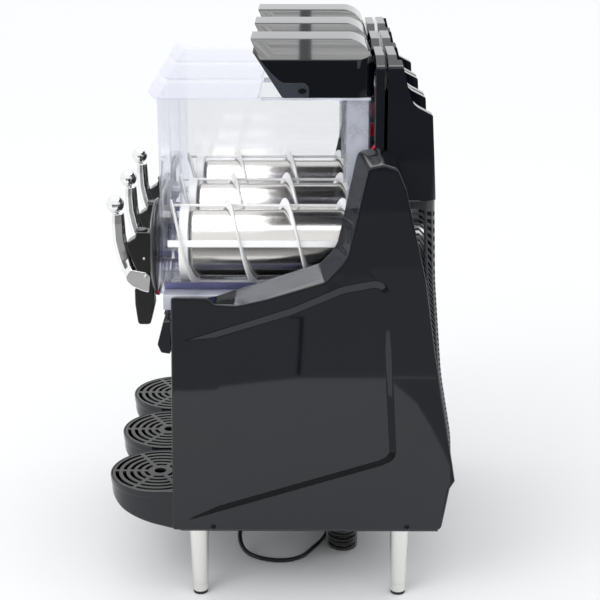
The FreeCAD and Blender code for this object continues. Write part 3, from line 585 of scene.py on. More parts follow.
# ---------- side panels ----------
PANEL_FOOT_AND_REAR = [
    (-155, 120.5, 4), (240, 120.5, 9), (245, 150, 8), (251, 188, 5), (258.2, 200, 3), (254, 226, 30),
    (224, 398, 90), (208, 506, 90), (178, 637, 30),
]
PANEL_INNER = PANEL_FOOT_AND_REAR + [
    (163, 679, 9), (140, 688, 14), (112, 684, 12), (94, 596, 60), (84, 548, 40), (60, 523, 20),
    (-16, 497.5, 60), (-56, 484.5, 25), (-86, 474, 8), (-98, 472.4, 6), (-148, 472, 5),
]
PANEL_OUTER = PANEL_FOOT_AND_REAR + [
    (166, 666, 9), (147, 672, 10), (126, 668, 8), (109, 590, 60), (98, 539, 40), (68, 505, 20),
    (-16, 479, 60), (-56, 470, 25), (-86, 471.5, 8), (-98, 481, 6), (-148, 481.5, 5),
]
FIELD = [
    (-140, 134, 8), (150, 225, 24), (173, 236, 24), (163, 400, 200), (158, 512, 22), (91, 499, 60),
    (19, 467, 120), (-140, 416, 6),
]
FIELD_FRONT = ((-80, 164.4, 8), (-80, 423.7, 6))   # where the front's long slope reaches full height
FIELD_RISE = 4.0
FIELD_SLOPE = 11.0
FIELD_LOW_EDGE = 250.0
PANEL_WALL_X = PANEL_HIGH.x - FIELD_RISE
PANEL_EDGE_R = 4.0
PANEL_THICK = 3.0


def panel_mesh():
    """Moulded shell: rounded outer edge, flat wall and a raised field with sloping sides."""
    work = bmesh.new()
    inner_x = PANEL_LOW.x
    edge_depth = PANEL_EDGE_R * 0.5
    rings = [
        at_x(rounded(inset(PANEL_OUTER, PANEL_THICK + 1)), PANEL_WALL_X - PANEL_THICK),
        at_x(rounded(inset(PANEL_INNER, PANEL_THICK)), inner_x),
        at_x(rounded(inset(PANEL_INNER, 0.5)), inner_x),
        at_x(rounded(PANEL_INNER), inner_x + 0.5),
        at_x(rounded(PANEL_OUTER), PANEL_WALL_X - edge_depth),
    ]
    for k in range(1, 5):
        angle = radians(22.5 * k)
        edge = inset(PANEL_OUTER, PANEL_EDGE_R * (1 - cos(angle)))
        rings.append(at_x(rounded(edge), PANEL_WALL_X - edge_depth * (1 - sin(angle))))
    wall_rim = skin(work, rings, first=True)[-1]
    foot = rounded(FIELD)
    crown = rounded([FIELD_FRONT[0]] + inset(FIELD, FIELD_SLOPE)[1:-1] + [FIELD_FRONT[1]])
    slopes = []
    for k in range(9):
        t = k / 8
        height = FIELD_RISE * min(max((t - 0.06) / 0.88, 0), 1)
        slopes.append(at_x([a.lerp(b, t) for a, b in zip(foot, crown)], PANEL_WALL_X + height))
    field_foot = skin(work, slopes, last=True)[0]
    rims = []
    for row in (wall_rim, field_foot):
        for a, b in zip(row, row[1:] + row[:1]):
            rims.append(work.edges.get((a, b)) or work.edges.new((a, b)))
    bmesh.ops.triangle_fill(work, use_beauty=True, edges=rims, normal=(1, 0, 0))
    return work


def make_side_panels():
    work = panel_mesh()
    mirror_image = work.copy()
    flip = Matrix.Scale(-1, 4, Vector((1, 0, 0)))
    bmesh.ops.transform(mirror_image, matrix=flip, verts=mirror_image.verts)
    for side, shape in (("right", work), ("left", mirror_image)):
        piece = new_object("panel_" + side, shape)
        shade(piece, 50)
        finish_piece(piece, "side_panel_" + side)
        piece.data.materials.append(LOOKS["shadow_line"])
        # Down-facing faces of the field's low slope take shadow_line: painted shade, near black with little
        # shine.
        for face in piece.data.polygons:
            faces_down = -0.6 < face.normal.z < -0.08 and abs(face.normal.x) > 0.7
            on_field = abs(face.center.x) > PANEL_WALL_X * MM and face.center.z < FIELD_LOW_EDGE * MM
            if faces_down and on_field:
                face.material_index = 1


def make_panel_screws():
    """Button heads with a round socket, low on each side panel."""
    work = bmesh.new()
    low, high = box_mm("panel_screws")
    rise = high.x - PANEL_WALL_X
    head_r = (high.z - low.z) / 2
    z = middle("panel_screws").z
    profile = [(0, rise * 0.3), (head_r * 0.4, rise * 0.3), (head_r * 0.4, rise), (head_r * 0.65, rise),
               (head_r * 0.9, rise * 0.6), (head_r, 0.1), (head_r * 0.5, 0), (head_r * 0.5, -4), (0, -4)]
    for side in (-1, 1):
        for y in (low.y + head_r, high.y - head_r):
            lathe(work, [(r, side * h) for r, h in profile], (side * PANEL_WALL_X, y, z), "X", 24)
    single_piece("screw_heads", work, "panel_screws")


# ---------- legs ----------
LEG_TOP_R = 14.3
LEG_BOTTOM_R = 11.5
GROOVE_Z = 18.0


def make_legs():
    """Tapered turned legs with a fine groove, on round rubber feet."""
    low, high = box_mm("legs")
    foot_top = box_mm("levelling_feet")[1].z
    pan_z = box_mm("base_pan")[0].z
    taper = (LEG_TOP_R - LEG_BOTTOM_R) / (pan_z - low.z)
    groove_r = LEG_BOTTOM_R + taper * (GROOVE_Z - low.z)
    leg = [(0, low.z + 1), (LEG_BOTTOM_R - 1.5, low.z + 1), (LEG_BOTTOM_R - 1.3, low.z + 0.3)]
    leg += [(LEG_BOTTOM_R - 0.5, low.z), (LEG_BOTTOM_R, low.z + 0.8)]
    leg += [(groove_r, GROOVE_Z - 0.1), (groove_r - 0.45, GROOVE_Z), (groove_r - 0.45, GROOVE_Z + 0.7)]
    leg += [(groove_r, GROOVE_Z + 0.8), (LEG_TOP_R, pan_z - 1), (LEG_TOP_R - 0.7, pan_z - 0.2)]
    leg += [(4, pan_z - 0.1), (4, high.z), (0, high.z)]
    foot_r = LEG_BOTTOM_R - 0.6
    foot = [(0, 0)] + arc_profile((foot_r - 1.4, 1.4), 1.4, -90, 0, 4)
    foot += [(foot_r, foot_top - 0.8), (foot_r - 0.6, foot_top - 0.1), (0, foot_top - 0.1)]
    for name, profile, node in (("turned_legs", leg, "legs"), ("rubber_feet", foot, "levelling_feet")):
        work = bmesh.new()
        for x in (low.x + LEG_TOP_R, high.x - LEG_TOP_R):
            for y in (low.y + LEG_TOP_R, high.y - LEG_TOP_R):
                lathe(work, profile, (x, y, 0), "Z", 56)
        single_piece(name, work, node, 35)


# ---------- rear housing ----------
HOUSING_BACK = [
    (120.5, 236), (128.5, 243), (186, 249), (250, 257), (296, 255), (393, 238), (528, 226), (614, 221),
]
HOUSING_CORNER_R = 25.0
SLAT_PITCH = 7.7
SLAT_HIGH = 3.3
SLAT_LOW_Z = 232.0
SLATS = 48
SIDE_COLUMNS = 5
CORNER_COLUMNS = 9
BACK_COLUMNS = 60
RIB_EVERY = 4
CORNER_RIBS = (0, 1, 2, 7, 10)
FALL_RATE = 1.8


def housing_back_y(z):
    """How far back the housing reaches at a height."""
    return smoothed(HOUSING_BACK, z, 14)


def slat_fall(y, z):
    """How far the slats drop as they run round a corner; none at the housing's top and foot."""
    past_side = max(y - housing_back_y(z) + HOUSING_CORNER_R, 0)
    share = min(max((z - 132) / 100, 0), 1) * min(max((613.7 - z) / 70, 0), 1)
    return past_side * FALL_RATE * share


def housing_plan(z, half):
    """Plan of the housing at a height: side, rounded corner, back, corner, side."""
    back = housing_back_y(z)
    r = HOUSING_CORNER_R
    start = back - r
    right = [(half, 150 + (start - 150) * k / SIDE_COLUMNS) for k in range(SIDE_COLUMNS)]
    for k in range(CORNER_COLUMNS):
        angle = radians(90 * k / CORNER_COLUMNS)
        right.append((half - r + r * cos(angle), start + r * sin(angle)))
    flat = half - r
    across = [(flat - 2 * flat * k / BACK_COLUMNS, back) for k in range(BACK_COLUMNS + 1)]
    return right + across + [(-x, y) for x, y in right[::-1]]


def make_rear_housing():
    """Slatted cover around the back: level slots that run round the corners between ribs."""
    work = bmesh.new()
    low, high = box_mm("rear_grille")
    levels = [low.z, 124.5, 132, 145, 160, 180, 200, 216]
    first_slat = len(levels)
    for k in range(SLATS):
        base = SLAT_LOW_Z + k * SLAT_PITCH
        levels += [base, base + SLAT_HIGH]
    last_slat = len(levels)
    levels += [SLAT_LOW_Z + SLATS * SLAT_PITCH, high.z - 2, high.z - 0.3]
    rows = []
    for z in levels:
        plan = housing_plan(z, high.x)
        rows.append([work.verts.new((x, y, z - slat_fall(y, z))) for x, y in plan])
    ends = SIDE_COLUMNS + CORNER_COLUMNS
    for r in range(len(rows) - 1):
        open_row = first_slat < r < last_slat and (r - first_slat) % 2 == 1
        for c in range(len(rows[0]) - 1):
            from_end = min(c, len(rows[0]) - 2 - c)
            rib = (c - ends) % RIB_EVERY == 0 if from_end >= ends else from_end in CORNER_RIBS
            if not open_row or rib:
                work.faces.new((rows[r][c], rows[r][c + 1], rows[r + 1][c + 1], rows[r + 1][c]))
    piece = new_object("slatted_back", work)
    thicken(piece, 2.4)
    shade(piece, 35)
    finish_piece(piece, "rear_grille")


# ---------- bowls ----------
BOWL_HALF = 72.0
BOWL_WALL = 2.8
BOWL_CORNER_R = 9.0
BOWL_FRONT = -163.0
BOWL_REAR = 129.0
RIM_TOP = 753.0


def bowl_plan(half, gap, z):
    """Rounded rectangle of the bowl at one height."""
    y0 = BOWL_FRONT + gap
    y1 = BOWL_REAR - gap
    r = max(min(BOWL_CORNER_R - gap, half - 0.1), 0.5)
    return at_z(rounded([(-half, y0, r), (half, y0, r), (half, y1, r), (-half, y1, r)], 6), z)


def trough_rings(gap, top):
    """Rings from the trough's bottom up its half-round side and the straight wall."""
    r = BOWL_HALF - gap
    rings = []
    for k in range(19):
        angle = radians(86 * (1 - k / 18))
        rings.append(bowl_plan(r * cos(angle), gap, AXIS_Z - r * sin(angle)))
    rings.append(bowl_plan(r, gap, top))
    return rings


def make_bowls():
    """Clear tub: half-round trough under straight walls, with a rolled rim and a hole at the back."""
    work = bmesh.new()
    outer = trough_rings(0, RIM_TOP - 6)
    inner = trough_rings(BOWL_WALL, RIM_TOP - 0.4)
    rim = [(0.4, 5), (1.0, 4), (1.0, 1), (0.4, 0), (0.5 - BOWL_WALL, 0)]
    rolled = [bowl_plan(BOWL_HALF + out, -out, RIM_TOP - drop) for out, drop in rim]
    skin(work, outer + rolled + inner[::-1], first=True, last=True)
    tub = new_object("tub", work)
    drill = bmesh.new()
    seal_low, seal_high = box_mm("bowl_gaskets")
    hole_r = (seal_high.z - seal_low.z) / 2 + 0.4
    lathe(drill, [(0, BOWL_REAR - 8), (hole_r, BOWL_REAR - 8), (hole_r, BOWL_REAR + 4), (0, BOWL_REAR + 4)],
          (0, 0, AXIS_Z), "Y", 96)
    cutter = new_object("bowl_opening", drill)
    hole = tub.modifiers.new("opening", "BOOLEAN")
    hole.operation = "DIFFERENCE"
    hole.solver = "EXACT"
    hole.object = cutter
    opened = bpy.data.meshes.new_from_object(tub.evaluated_get(bpy.context.evaluated_depsgraph_get()))
    tub.modifiers.clear()
    tub.data = opened
    bpy.data.objects.remove(cutter)
    shade(tub, 45)
    for_each_bowl(tub, "bowl")


def make_bowl_skirts():
    """Milky skirt and ledge under each trough; a violet band on its lower curve and a grey fillet in its rear
    corners paint refraction.
    """
    work = bmesh.new()
    for side in (-1, 1):
        profile = [(side * 72, 452), (side * 72, 474, 2.0), (side * 43, 474), (side * 43, 471.4),
                   (side * 69.4, 471.4), (side * 69.4, 452)]
        plate(work, profile, at_y, BOWL_FRONT + 1, BOWL_REAR - 2, 4)
    front = [(-68.8, 452), (68.8, 452), (68.8, 470.8), (40, 470.8), (20, 460), (-20, 460), (-40, 470.8),
             (-68.8, 470.8)]
    plate(work, front, at_y, BOWL_FRONT + 0.5, BOWL_FRONT + 3, 4)
    bowl_pieces("bowl_skirt", work, "bowl", 30, replaced=[], material=LEDGE_WHITE)
    # Violet band on the outside of the trough's lower curve: painted refraction colour, not a part of the
    # bowl.
    refraction_band_work = bmesh.new()
    for side in (-1, 1):
        outer = [polar(side * (BOWL_HALF + 0.4), AXIS_Z, angle) for angle in range(-50, -32, 3)]
        inner = [polar(side * (BOWL_HALF + 0.05), AXIS_Z, angle) for angle in range(-35, -53, -3)]
        plate(refraction_band_work, outer + inner, at_y, BOWL_FRONT + 2, BOWL_REAR - 3)
    bowl_pieces("painted_refraction_band", refraction_band_work, "bowl", replaced=[], material=VIOLET_REFRACTION_PAINT)
    # Milky grey fillet in the rear inside corners; its grey is painted refraction of the rounded corners.
    fillet = bmesh.new()
    inner = BOWL_HALF - BOWL_WALL
    rear = BOWL_REAR - BOWL_WALL
    for side in (-1, 1):
        corners = [(side * inner, 96), (side * inner, rear), (side * (inner - 7), rear),
                   (side * (inner - 0.6), rear - 9, 5)]
        plate(fillet, corners, at_z, 604, RIM_TOP - 1)
    bowl_pieces("bowl_fillet", fillet, "bowl", replaced=[], material=CORNER_REFRACTION_PAINT)


def make_bowl_bosses():
    """Round clear seat for the tap on the bowl's front, and the fluted ears at its back."""
    work = bmesh.new()
    profile = [(0, -170.5), (60, -170.5), (66, -171.5), (68.2, -171.2), (69, -170), (69, -163.4), (0, -163.4)]
    lathe(work, profile, (0, 0, TAP_Z), "Y", 96)
    for side in (-1, 1):
        rings = []
        for k in range(6):
            r = 4.6 + 0.84 * k
            ring = []
            for a in range(0, 181, 6):
                angle = radians(a)
                flute = 1 + 0.05 * cos(angle * 12)
                out = min(r * flute * sin(angle) * 0.48, 3.3)
                ring.append(Vector((side * (72.1 + out), 120.5 - r * cos(angle), 660 + 3.2 * k)))
            rings.append(ring)
        skin(work, rings, first=True, last=True)
    bowl_pieces("bowl_boss", work, "bowl", 30, replaced=[])


def make_front_covers():
    """Clear cover over the front of a bowl with a curled lip to lift it by, and its rails under the hood."""
    profile = [
        (-22, 754), (-22, 760.5), (-24.6, 760.5), (-26, 756.2), (-158, 756.2), (-163, 757), (-167, 760),
        (-172, 767), (-174.6, 766), (-169, 757), (-165, 753.6), (-160, 753.4), (-40, 753.4),
    ]
    work = bmesh.new()
    plate(work, profile, at_x, -BOWL_HALF, BOWL_HALF)
    piece = new_object("clear_cover", work)
    soften(piece, 0.4, 2)
    shade(piece, 40)
    for_each_bowl(piece, "front_cover")
    rails = bmesh.new()
    for low_x in (-BOWL_HALF - 0.9, BOWL_HALF - 3.1):
        corners = [(low_x, -21), (low_x + 4, -21), (low_x + 4, 128.8, 1.5), (low_x, 128.8, 1.5)]
        plate(rails, corners, at_z, RIM_TOP, HOOD_BOTTOM - 0.1)
    bowl_pieces("cover_rails", rails, "front_cover", 30, replaced=[], material=LEDGE_WHITE)


# ---------- hoods ----------
HOOD_HALF = 73.6
HOOD_TOP = 831.0
HOOD_BOTTOM = 756.5
HOOD_SHOULDER = 808.0
HOOD_CREST_HALF = 37.0
CREST_R = 12.0
HOOD_REAR = 134.0
HOOD_CORNER_R = 37.0
HOOD_PLAN_R = 25.0
FACE_TOP = (-31.0, 824.0)
FACE_LOW_Y = 10.5
FLAP_PIVOT = (35.6, 767.1)


def hood_row(x, gap):
    """(y, z) along the hood from its front over the top and down its back, gap below the crest."""
    level = HOOD_TOP - gap
    slope = (FACE_LOW_Y - FACE_TOP[0]) / (FACE_TOP[1] - HOOD_BOTTOM)
    front_y = FACE_TOP[0] + (FACE_TOP[1] - level) * slope
    past = max(abs(x) - HOOD_HALF + HOOD_PLAN_R, 0)
    rear_y = HOOD_REAR - HOOD_PLAN_R + sqrt(max(HOOD_PLAN_R ** 2 - past ** 2, 0))
    turn_y = HOOD_REAR - HOOD_CORNER_R
    end = asin(min((rear_y - turn_y) / HOOD_CORNER_R, 1))
    start = min(acos(1 - gap / HOOD_CORNER_R), end)
    points = []
    for k in range(19):
        angle = start + (end - start) * k / 18
        y = turn_y + HOOD_CORNER_R * sin(angle)
        points.append((y, min(level, HOOD_TOP - HOOD_CORNER_R * (1 - cos(angle)))))
    first_y = points[0][0]
    last_z = points[-1][1]
    ahead = [(front_y + (first_y - front_y) * k / 7, level) for k in range(7)]
    down = [(rear_y, last_z + (HOOD_BOTTOM - last_z) * k / 4) for k in range(1, 5)]
    return ahead + points + down


def make_hoods():
    """Black hood: rounded crest, sloping facets, upright sides and rounded rear corners."""
    facet = atan2(HOOD_TOP - HOOD_SHOULDER, HOOD_HALF - HOOD_CREST_HALF)
    run = CREST_R * tan(facet / 2)
    section = [(0, 0), (HOOD_CREST_HALF - run, 0)]
    for k in range(1, 8):
        angle = facet * k / 7
        section.append((HOOD_CREST_HALF - run + CREST_R * sin(angle), CREST_R * (1 - cos(angle))))
    start_x, start_gap = section[-1]
    low_gap = HOOD_TOP - HOOD_SHOULDER
    for k in range(1, 11):
        t = 0.97 * k / 10
        section.append((start_x + (HOOD_HALF - start_x) * t, start_gap + (low_gap - start_gap) * t))
    section += [(HOOD_HALF - 0.35, low_gap + 0.1), (HOOD_HALF, low_gap + 1.2)]
    levels = [(-x, gap) for x, gap in section[:0:-1]] + section
    work = bmesh.new()
    rows = skin(work, [at_x(hood_row(x, gap), x) for x, gap in levels], closed=False)
    for row in (rows[0], rows[-1]):
        corner = work.verts.new((row[0].co.x, FACE_LOW_Y, HOOD_BOTTOM))
        work.faces.new([*row, corner])
    piece = new_object("hood_shell", work)
    thicken(piece, 2.1)
    shade(piece, 40)
    for_each_bowl(piece, "lid")


def make_hood_pins():
    """Round pivots on the hood's sides that carry the refill door."""
    work = bmesh.new()
    for side in (-1, 1):
        profile = [(0, 72.2), (5.9, 72.2), (5.9, 75.7), (5.3, 76.2), (2.4, 76.2), (2.2, 75.6), (0, 75.6)]
        lathe(work, [(r, side * h) for r, h in profile], (0, *FLAP_PIVOT), "X", 32)
    bowl_pieces("hood_pins", work, "lid", replaced=[])


# ---------- augers and cold cylinders ----------
AUGER_R = 66.0
AUGER_INNER_R = 51.5
AUGER_PITCH = 83.5
AUGER_FRONT = -156.0
AUGER_REAR = 108.0
BLADE_HALF = 2.5
STEPS_PER_TURN = 72
BAR_TURNS = (75, 165, 255, 345)


def auger_blade(work):
    """Screw blade whose thickness tapers to a rounded outer edge."""
    h = BLADE_HALF
    section = [(AUGER_INNER_R, -h), (AUGER_R - 4, -h * 0.75), (AUGER_R - 1, -h * 0.5), (AUGER_R, 0),
               (AUGER_R - 1, h * 0.5), (AUGER_R - 4, h * 0.75), (AUGER_INNER_R, h)]
    length = AUGER_REAR - AUGER_FRONT - 2 * h
    turns = length / AUGER_PITCH
    count = int(turns * STEPS_PER_TURN)
    rings = []
    for k in range(count + 1):
        angle = 2 * pi * turns * k / count
        y = AUGER_FRONT + h + length * k / count
        rings.append([Vector((r * sin(angle), y + d, AXIS_Z + r * cos(angle))) for r, d in section])
    skin(work, rings, first=True, last=True)


def auger_frame(work):
    """Four scraper bars round the cylinder, with the spokes, ring and hub that carry them."""
    for turn in BAR_TURNS:
        arm = bmesh.new()
        bar = [(-5.5, 53, 1), (5.5, 53, 1), (4.5, 57, 1.4), (-4.5, 57, 1.4)]
        plate(arm, bar, at_y, AUGER_FRONT + 1, AUGER_REAR, 3)
        plate(arm, [(-5.5, 12), (5.5, 12), (3.6, 54), (-3.6, 54)], at_y, -139.8, -129.5, 3)
        place = Matrix.Translation((0, 0, AXIS_Z)) @ Matrix.Rotation(radians(turn), 4, "Y")
        bmesh.ops.transform(arm, matrix=place, verts=arm.verts)
        mesh = bpy.data.meshes.new("arm")
        arm.to_mesh(mesh)
        arm.free()
        work.from_mesh(mesh)
        bpy.data.meshes.remove(mesh)
    ring = [(46, -139), (46.6, -140), (55.6, -140), (56.4, -139), (56.4, -128), (55.6, -127), (46.6, -127),
            (46, -128)]
    lathe(work, ring, (0, 0, AXIS_Z), "Y", 72, closed=True)
    hub = [(0, -149), (9, -149), (13, -147.6), (15, -144.5), (15, -128), (14, -127), (8.4, -127),
           (8.4, -146.2), (0, -146.2)]
    lathe(work, hub, (0, 0, AXIS_Z), "Y", 48)


def make_augers():
    work = bmesh.new()
    auger_blade(work)
    auger_frame(work)
    bowl_pieces("screw", work, "auger")


def make_cylinders():
    """Steel freezing cylinders with a rounded nose and a flange, and the seals round the flanges."""
    cylinder = [(8.2, -125)] + arc_profile((44.0, -120.0), 5, -90, 0, 6)
    cylinder += [(49, 118), (50, 119.4), (62.5, 119.6), (64, 121), (64, 135.2), (8.2, 135.2)]
    seal = [(64.3, 121)] + arc_profile((66.2, 123), 1.6, 180, 0, 6) + [(68, 134), (64.3, 134)]
    for name, profile, node, angle in (("cold_cylinders", cylinder, "evaporators", 30),
                                       ("bowl_seals", seal, "bowl_gaskets", 40)):
        work = bmesh.new()
        for x in BOWL_X.values():
            lathe(work, profile, (x, 0, AXIS_Z), "Y", 96, closed=True)
        single_piece(name, work, node, angle)


# ---------- taps ----------
TAP_Z = 525.0
TAP_PIVOT = (-192.0, 484.0)
BALL_CENTRE = (-234.7, 588.5)
BALL_R = 12.95


def make_tap_bodies():
    """Domed front plate with the valve body and its spout."""
    work = bmesh.new()
    dome = [(0, -184.5), (20, -184.2), (40, -183), (56, -181), (66, -178.6), (69.6, -177), (71, -175),
            (71, -173.4), (70, -172), (0, -172)]
    lathe(work, dome, (0, 0, TAP_Z), "Y", 96)
    outline = [
        (-181, 437, 2), (-181, 549, 3), (-204, 550, 4), (-206, 541, 3), (-220, 532, 5), (-213, 510, 8),
        (-205, 492), (-205, 470), (-209.5, 462, 4), (-209.5, 440, 10), (-206, 409, 5), (-188, 409, 5),
    ]
    plate(work, outline, at_x, -13, 13, 5)
    piece = new_object("valve_body", work)
    soften(piece, 1.4, 3, 40)
    shade(piece, 40)
    for_each_bowl(piece, "tap_body")


def make_tap_trim():
    """Steel pins through the valve body and the red seal behind its plate."""
    pins = bmesh.new()
    pivot = [(0, -18), (1.8, -18), (2.5, -17.3), (2.5, 17.3), (1.8, 18), (0, 18)]
    lathe(pins, pivot, (0, *TAP_PIVOT), "X", 24)
    stop = [(0, -14.2), (1.6, -14.2), (2, -13.8), (2, 13.8), (1.6, 14.2), (0, 14.2)]
    lathe(pins, stop, (0, TAP_PIVOT[0] - 2, TAP_PIVOT[1] + 26), "X", 20)
    bowl_pieces("valve_pins", pins, "tap_body", replaced=[], slot="chrome")
    seal = bmesh.new()
    outer = [polar(71.2, TAP_Z, angle) for angle in range(-62, -44, 3)]
    inner = [polar(70.2, TAP_Z, angle) for angle in range(-47, -65, -3)]
    plate(seal, outer + inner, at_y, -172.2, -170.2)
    bowl_pieces("tap_seal", seal, "tap_body", replaced=[], slot="red_plastic")


def make_pistons():
    work = bmesh.new()
    profile = [(0, 452), (5.2, 452), (6.2, 453), (6.2, 547.5), (8, 547.5), (8.5, 548.2), (8.5, 551.2),
               (7.6, 552), (0, 552)]
    lathe(work, profile, (0, -197.5, 0), "Z", 40)
    bowl_pieces("plunger", work, "tap_piston")


# The lever's arm from top to bottom: (y, z) of its front and back, and half its width.
LEVER_STATIONS = [
    ((-239.6, 574), (-222.6, 576), 7.6), ((-240.6, 560), (-221.8, 561), 8.4),
    ((-239.9, 534.6), (-220.9, 541), 8.6), ((-236.5, 516), (-217.5, 523), 8.8),
    ((-233.0, 503), (-214.5, 510), 9.6), ((-228.5, 490), (-211.5, 500), 12.5),
    ((-224.0, 481), (-209.5, 495), 16.0), ((-216.5, 472), (-208.5, 491.5), 17.0),
]
CHEEK = [
    (-214, 494, 4), (-203, 492, 6), (-190, 489.5, 8), (-184.8, 484, 3), (-187.5, 459, 3), (-197, 461.6, 30),
    (-213, 469, 14), (-224, 481, 10),
]


def make_levers():
    """Chrome lever: a slim curved arm that widens into two cheeks on the pin."""
    work = bmesh.new()
    rings = []
    for outer, inner, half in LEVER_STATIONS:
        centre = (Vector(outer) + Vector(inner)) / 2
        reach = (Vector(inner) - Vector(outer)) / 2
        ring = []
        for a in range(0, 360, 15):
            c, s = squarish(a)
            point = centre + reach * c
            ring.append(Vector((half * s, point.x, point.y)))
        rings.append(ring)
    skin(work, rings, first=True, last=True)
    for low in (-17, 13.5):
        plate(work, CHEEK, at_x, low, low + 3.5, 5)
    piece = new_object("chrome_lever", work)
    cast(piece, 0.8, 6)
    for_each_bowl(piece, "tap_lever")


def make_knobs():
    """Polished balls with a flat collar where they screw onto the arm."""
    work = bmesh.new()
    profile = [(0, BALL_R)]
    for a in range(4, 149, 6):
        profile.append((BALL_R * sin(radians(a)), BALL_R * cos(radians(a))))
    profile += [(6.9, -11.2), (6.6, -12.4), (5.6, -12.9), (0, -12.9)]
    lathe(work, profile, (0, 0, 0), "Z", 64)
    place = Matrix.Translation((0, *BALL_CENTRE)) @ Matrix.Rotation(radians(-9), 4, "X")
    bmesh.ops.transform(work, matrix=place, verts=work.verts)
    bowl_pieces("ball_knob", work, "lever_knob")


# ---------- drip trays ----------
TRAY_R = 76.0
TRAY_Y = -182.0
TRAY_BACK = -143.0
TRAY_TOP = 168.0
TRAY_FLOOR = [(-264, 152.8), (-252, 136), (-236, 126.6), (-143, 101)]


def tray_floor(y):
    """Height of the tray's underside, which falls towards the cabinet."""
    return smoothed(TRAY_FLOOR, y, 5)


def tray_line(gap, back_gap):
    """Half-round front with straight sides running back, drawn in by gap."""
    r = TRAY_R - gap
    back = TRAY_BACK - back_gap
    points = [(r, back)]
    for k in range(49):
        angle = radians(-180 * k / 48)
        points.append((r * cos(angle), TRAY_Y + r * sin(angle)))
    points.append((-r, back))
    return points


def above_floor(points, lift):
    return [Vector((x, y, tray_floor(y) + lift)) for x, y in points]


def fill_across(work, row):
    """Closes a mirrored outline with strips from one side to the other."""
    last = len(row) - 1
    for i in range(last // 2):
        corners = [row[i], row[i + 1], row[last - i - 1], row[last - i]]
        work.faces.new(list(dict.fromkeys(corners)))


def make_trays():
    """Deep cups with a rounded bottom edge and a rim that the grille sits in."""
    work = bmesh.new()
    rings = []
    for k in range(6):
        angle = radians(90 - 18 * k)
        line = tray_line(1.7 + 4 * (1 - cos(angle)), 0.2)
        rings.append(above_floor(line, 4 * (1 - sin(angle)) + 0.2))
    outside = [(1.2, -11, 0.2), (0.9, -10, 0.2), (0.3, -9.2, 0.1), (0.1, -1.2, 0), (0.7, -0.3, 0.4),
               (1.4, 0, 0.8)]
    inside = [(2.3, -0.2, 3.2), (2.5, -8, 3.4), (4.5, -8.2, 4.5)]
    rings += [at_z(tray_line(gap, back), TRAY_TOP + drop) for gap, drop, back in outside + inside]
    rings += [above_floor(tray_line(5, 5), 7), above_floor(tray_line(9, 9), 3.2)]
    rows = skin(work, rings)
    fill_across(work, rows[0])
    fill_across(work, rows[-1])
    bowl_pieces("drip_cup", work, "drip_tray")


# ---------- power cord ----------
CORD_D = 7.0
CORD_ROUTE = [
    (60, -40, 90), (60, -43, 73), (64, -51, 56), (72, -60, 39), (84, -66, 24), (100, -64, 11),
    (117, -54, 4.6), (131, -38, 3.8), (140, -18, 3.8), (143, 3, 3.8), (138, 23, 3.8), (125, 39, 3.8),
    (107, 48, 3.8), (88, 58.5, 3.8), (70, 67, 3.8), (50, 73.5, 4),
]
TAIL_ROUTE = [
    (-2, 77.9, 34.4), (-20, 79.5, 32.5), (-39, 82, 27), (-57, 86, 20), (-75, 90, 14.5), (-93, 92, 12.3),
]
HANK_EASE = (0.0, 3.0, 1.0, 4.0)   # how far each turn's folds are drawn in
HANK_RISE = 7.2
HANK_Z = 4.4
HANK_Y = 99.0
FOLD_R = 21.5
FOLD_POINT_R = 22.25               # control points stand outside the fold that they make
NEAR_FOLD_X = 93.0
FAR_FOLD_X = 11.0
HANK_RUN = (80.0, 52.0, 24.0)


def hank_turn(ease):
    """(x, y) of one turn: near run, far fold, back run and near fold."""
    turn = []
    for way, fold_x, run in ((-1, FAR_FOLD_X + ease, HANK_RUN), (1, NEAR_FOLD_X - ease, HANK_RUN[::-1])):
        turn += [(x, HANK_Y + way * FOLD_R) for x in run]
        for a in range(-75, 76, 30):
            out = way * FOLD_POINT_R * cos(radians(a))
            turn.append((fold_x + out, HANK_Y - way * FOLD_POINT_R * sin(radians(a))))
    return turn


def cord_points():
    """Route from the gland to the hank, the hank's turns and the tail to the plug."""
    points = list(CORD_ROUTE)
    for number, ease in enumerate(HANK_EASE):
        turn = hank_turn(ease)
        for i, (x, y) in enumerate(turn):
            if number or i > 1:
                points.append((x, y, HANK_Z + HANK_RISE * (number + i / len(turn))))
    top = HANK_Z + HANK_RISE * len(HANK_EASE)
    points += [(x, y, top + 0.4 * i) for i, (x, y) in enumerate(hank_turn(0.0)[:3])]
    return points + TAIL_ROUTE


def make_gland():
    """Flanged gland with a ribbed boot that tapers onto the lead."""
    low, high = box_mm("cable_gland")
    bore = CORD_D / 2 + 0.05
    profile = [(bore, low.z), (4.2, low.z), (4.6, low.z + 0.6)]
    for k in range(6):
        z = low.z + 2.5 + 3.6 * k
        r = 4.9 + 0.5 * k
        profile += [(r, z), (r - 0.6, z + 0.3), (r - 0.6, z + 1.3), (r + 0.1, z + 1.6)]
    profile += [(8.0, 114.2), (11.5, 114.5), (12, 115), (12, 117.3), (8.9, 117.4), (8.9, high.z)]
    profile.append((bore, high.z))
    work = bmesh.new()
    lathe(work, profile, ((low.x + high.x) / 2, (low.y + high.y) / 2, 0), "Z", 48, closed=True)
    return single_piece("gland", work, "cable_gland")


def make_tie():
    """Band that holds the hank's turns together."""
    band = [(73.1, 0.1, 6), (124.9, 0.1, 6), (124.9, 37.8, 6), (73.1, 37.8, 6)]
    outer = rounded(band)
    inner = rounded(inset(band, 0.8))
    work = bmesh.new()
    skin(work, [at_x(outer, 48), at_x(outer, 57), at_x(inner, 57), at_x(inner, 48), at_x(outer, 48)])
    return single_piece("hank_tie", work, "cord_hank", slot="black_plastic", replaced=[])


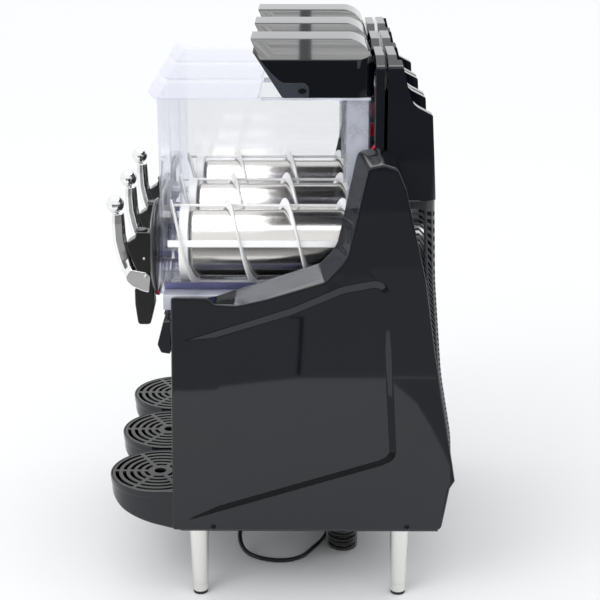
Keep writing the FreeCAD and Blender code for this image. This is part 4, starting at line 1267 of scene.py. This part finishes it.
def make_plug():
    """Moulded two-pin plug with a waisted grip."""
    end = TAIL_ROUTE[-1]
    work = bmesh.new()
    sections = [(0, 4.6, 4.6), (6, 5.2, 5.2), (12, 7, 7), (15, 11.5, 9), (22, 16, 11.2), (30, 16.6, 11.8),
                (40, 16.2, 11.4), (45, 16.6, 11.8), (46, 15.6, 11)]
    rings = []
    for back, half_y, half_z in sections:
        ring = []
        for a in range(0, 360, 12):
            c, s = squarish(a)
            ring.append(Vector((end[0] - back, end[1] + half_y * c, end[2] + half_z * s)))
        rings.append(ring)
    skin(work, rings, first=True, last=True)
    body = single_piece("plug_body", work, "plug")
    pins = bmesh.new()
    pin = [(0, -45.5), (2.4, -45.5), (2.4, -62.8), (1.9, -64.3), (0, -65)]
    for side in (-1, 1):
        lathe(pins, pin, (end[0], end[1] + side * 9.5, end[2]), "X", 24)
    return body, single_piece("plug_pins", pins, "plug", slot="chrome", replaced=[])


def make_cord():
    """Rubber lead as one smooth spline, folded into a tied hank, with its gland and plug."""
    pieces = [make_gland(), make_tie(), *make_plug()]
    curve = bpy.data.curves.new("power_lead", "CURVE")
    curve.dimensions = "3D"
    curve.bevel_depth = CORD_D / 2 * MM
    curve.bevel_resolution = 5
    curve.use_fill_caps = True
    curve.resolution_u = 6
    route = cord_points()
    spline = curve.splines.new("NURBS")
    spline.points.add(len(route) - 1)
    for point, at in zip(spline.points, route):
        point.co = (*(Vector(at) * MM), 1)
    spline.order_u = 3
    spline.use_endpoint_u = True
    lead = placed("power_lead", curve)
    finish_piece(lead, "power_cord", replaced=["power_cord", "cord_hank"])


# ---------- everything ----------
make_camera()
make_cord()
make_floor()
make_studio()
make_key_light()

for name, node in nodes.items():
    node.data.materials.clear()
    node.data.materials.append(LOOKS[SLOT_OF[name]])

make_side_panels()
make_panel_screws()
make_legs()
make_rear_housing()
make_bowls()
make_bowl_skirts()
make_bowl_bosses()
make_front_covers()
make_hoods()
make_hood_pins()
make_augers()
make_cylinders()
make_tap_bodies()
make_tap_trim()
make_pistons()
make_levers()
make_knobs()
make_trays()
SOFTENED = {"column_fronts": 1.4, "rear_towers": 2.2, "bowl_catches": 0.7, "control_console": 0.9,
            "base_pan": 0.6, "front_deck": 0.5}
for stem, width in SOFTENED.items():
    refined(stem, width, 3)
for side in SIDES:
    refined("drip_grille_" + side, 0.35, material=LOOKS["grille_grey"])
    refined("refill_flap_" + side, 0.5)
    refined("mode_switch_" + side, 0.5)
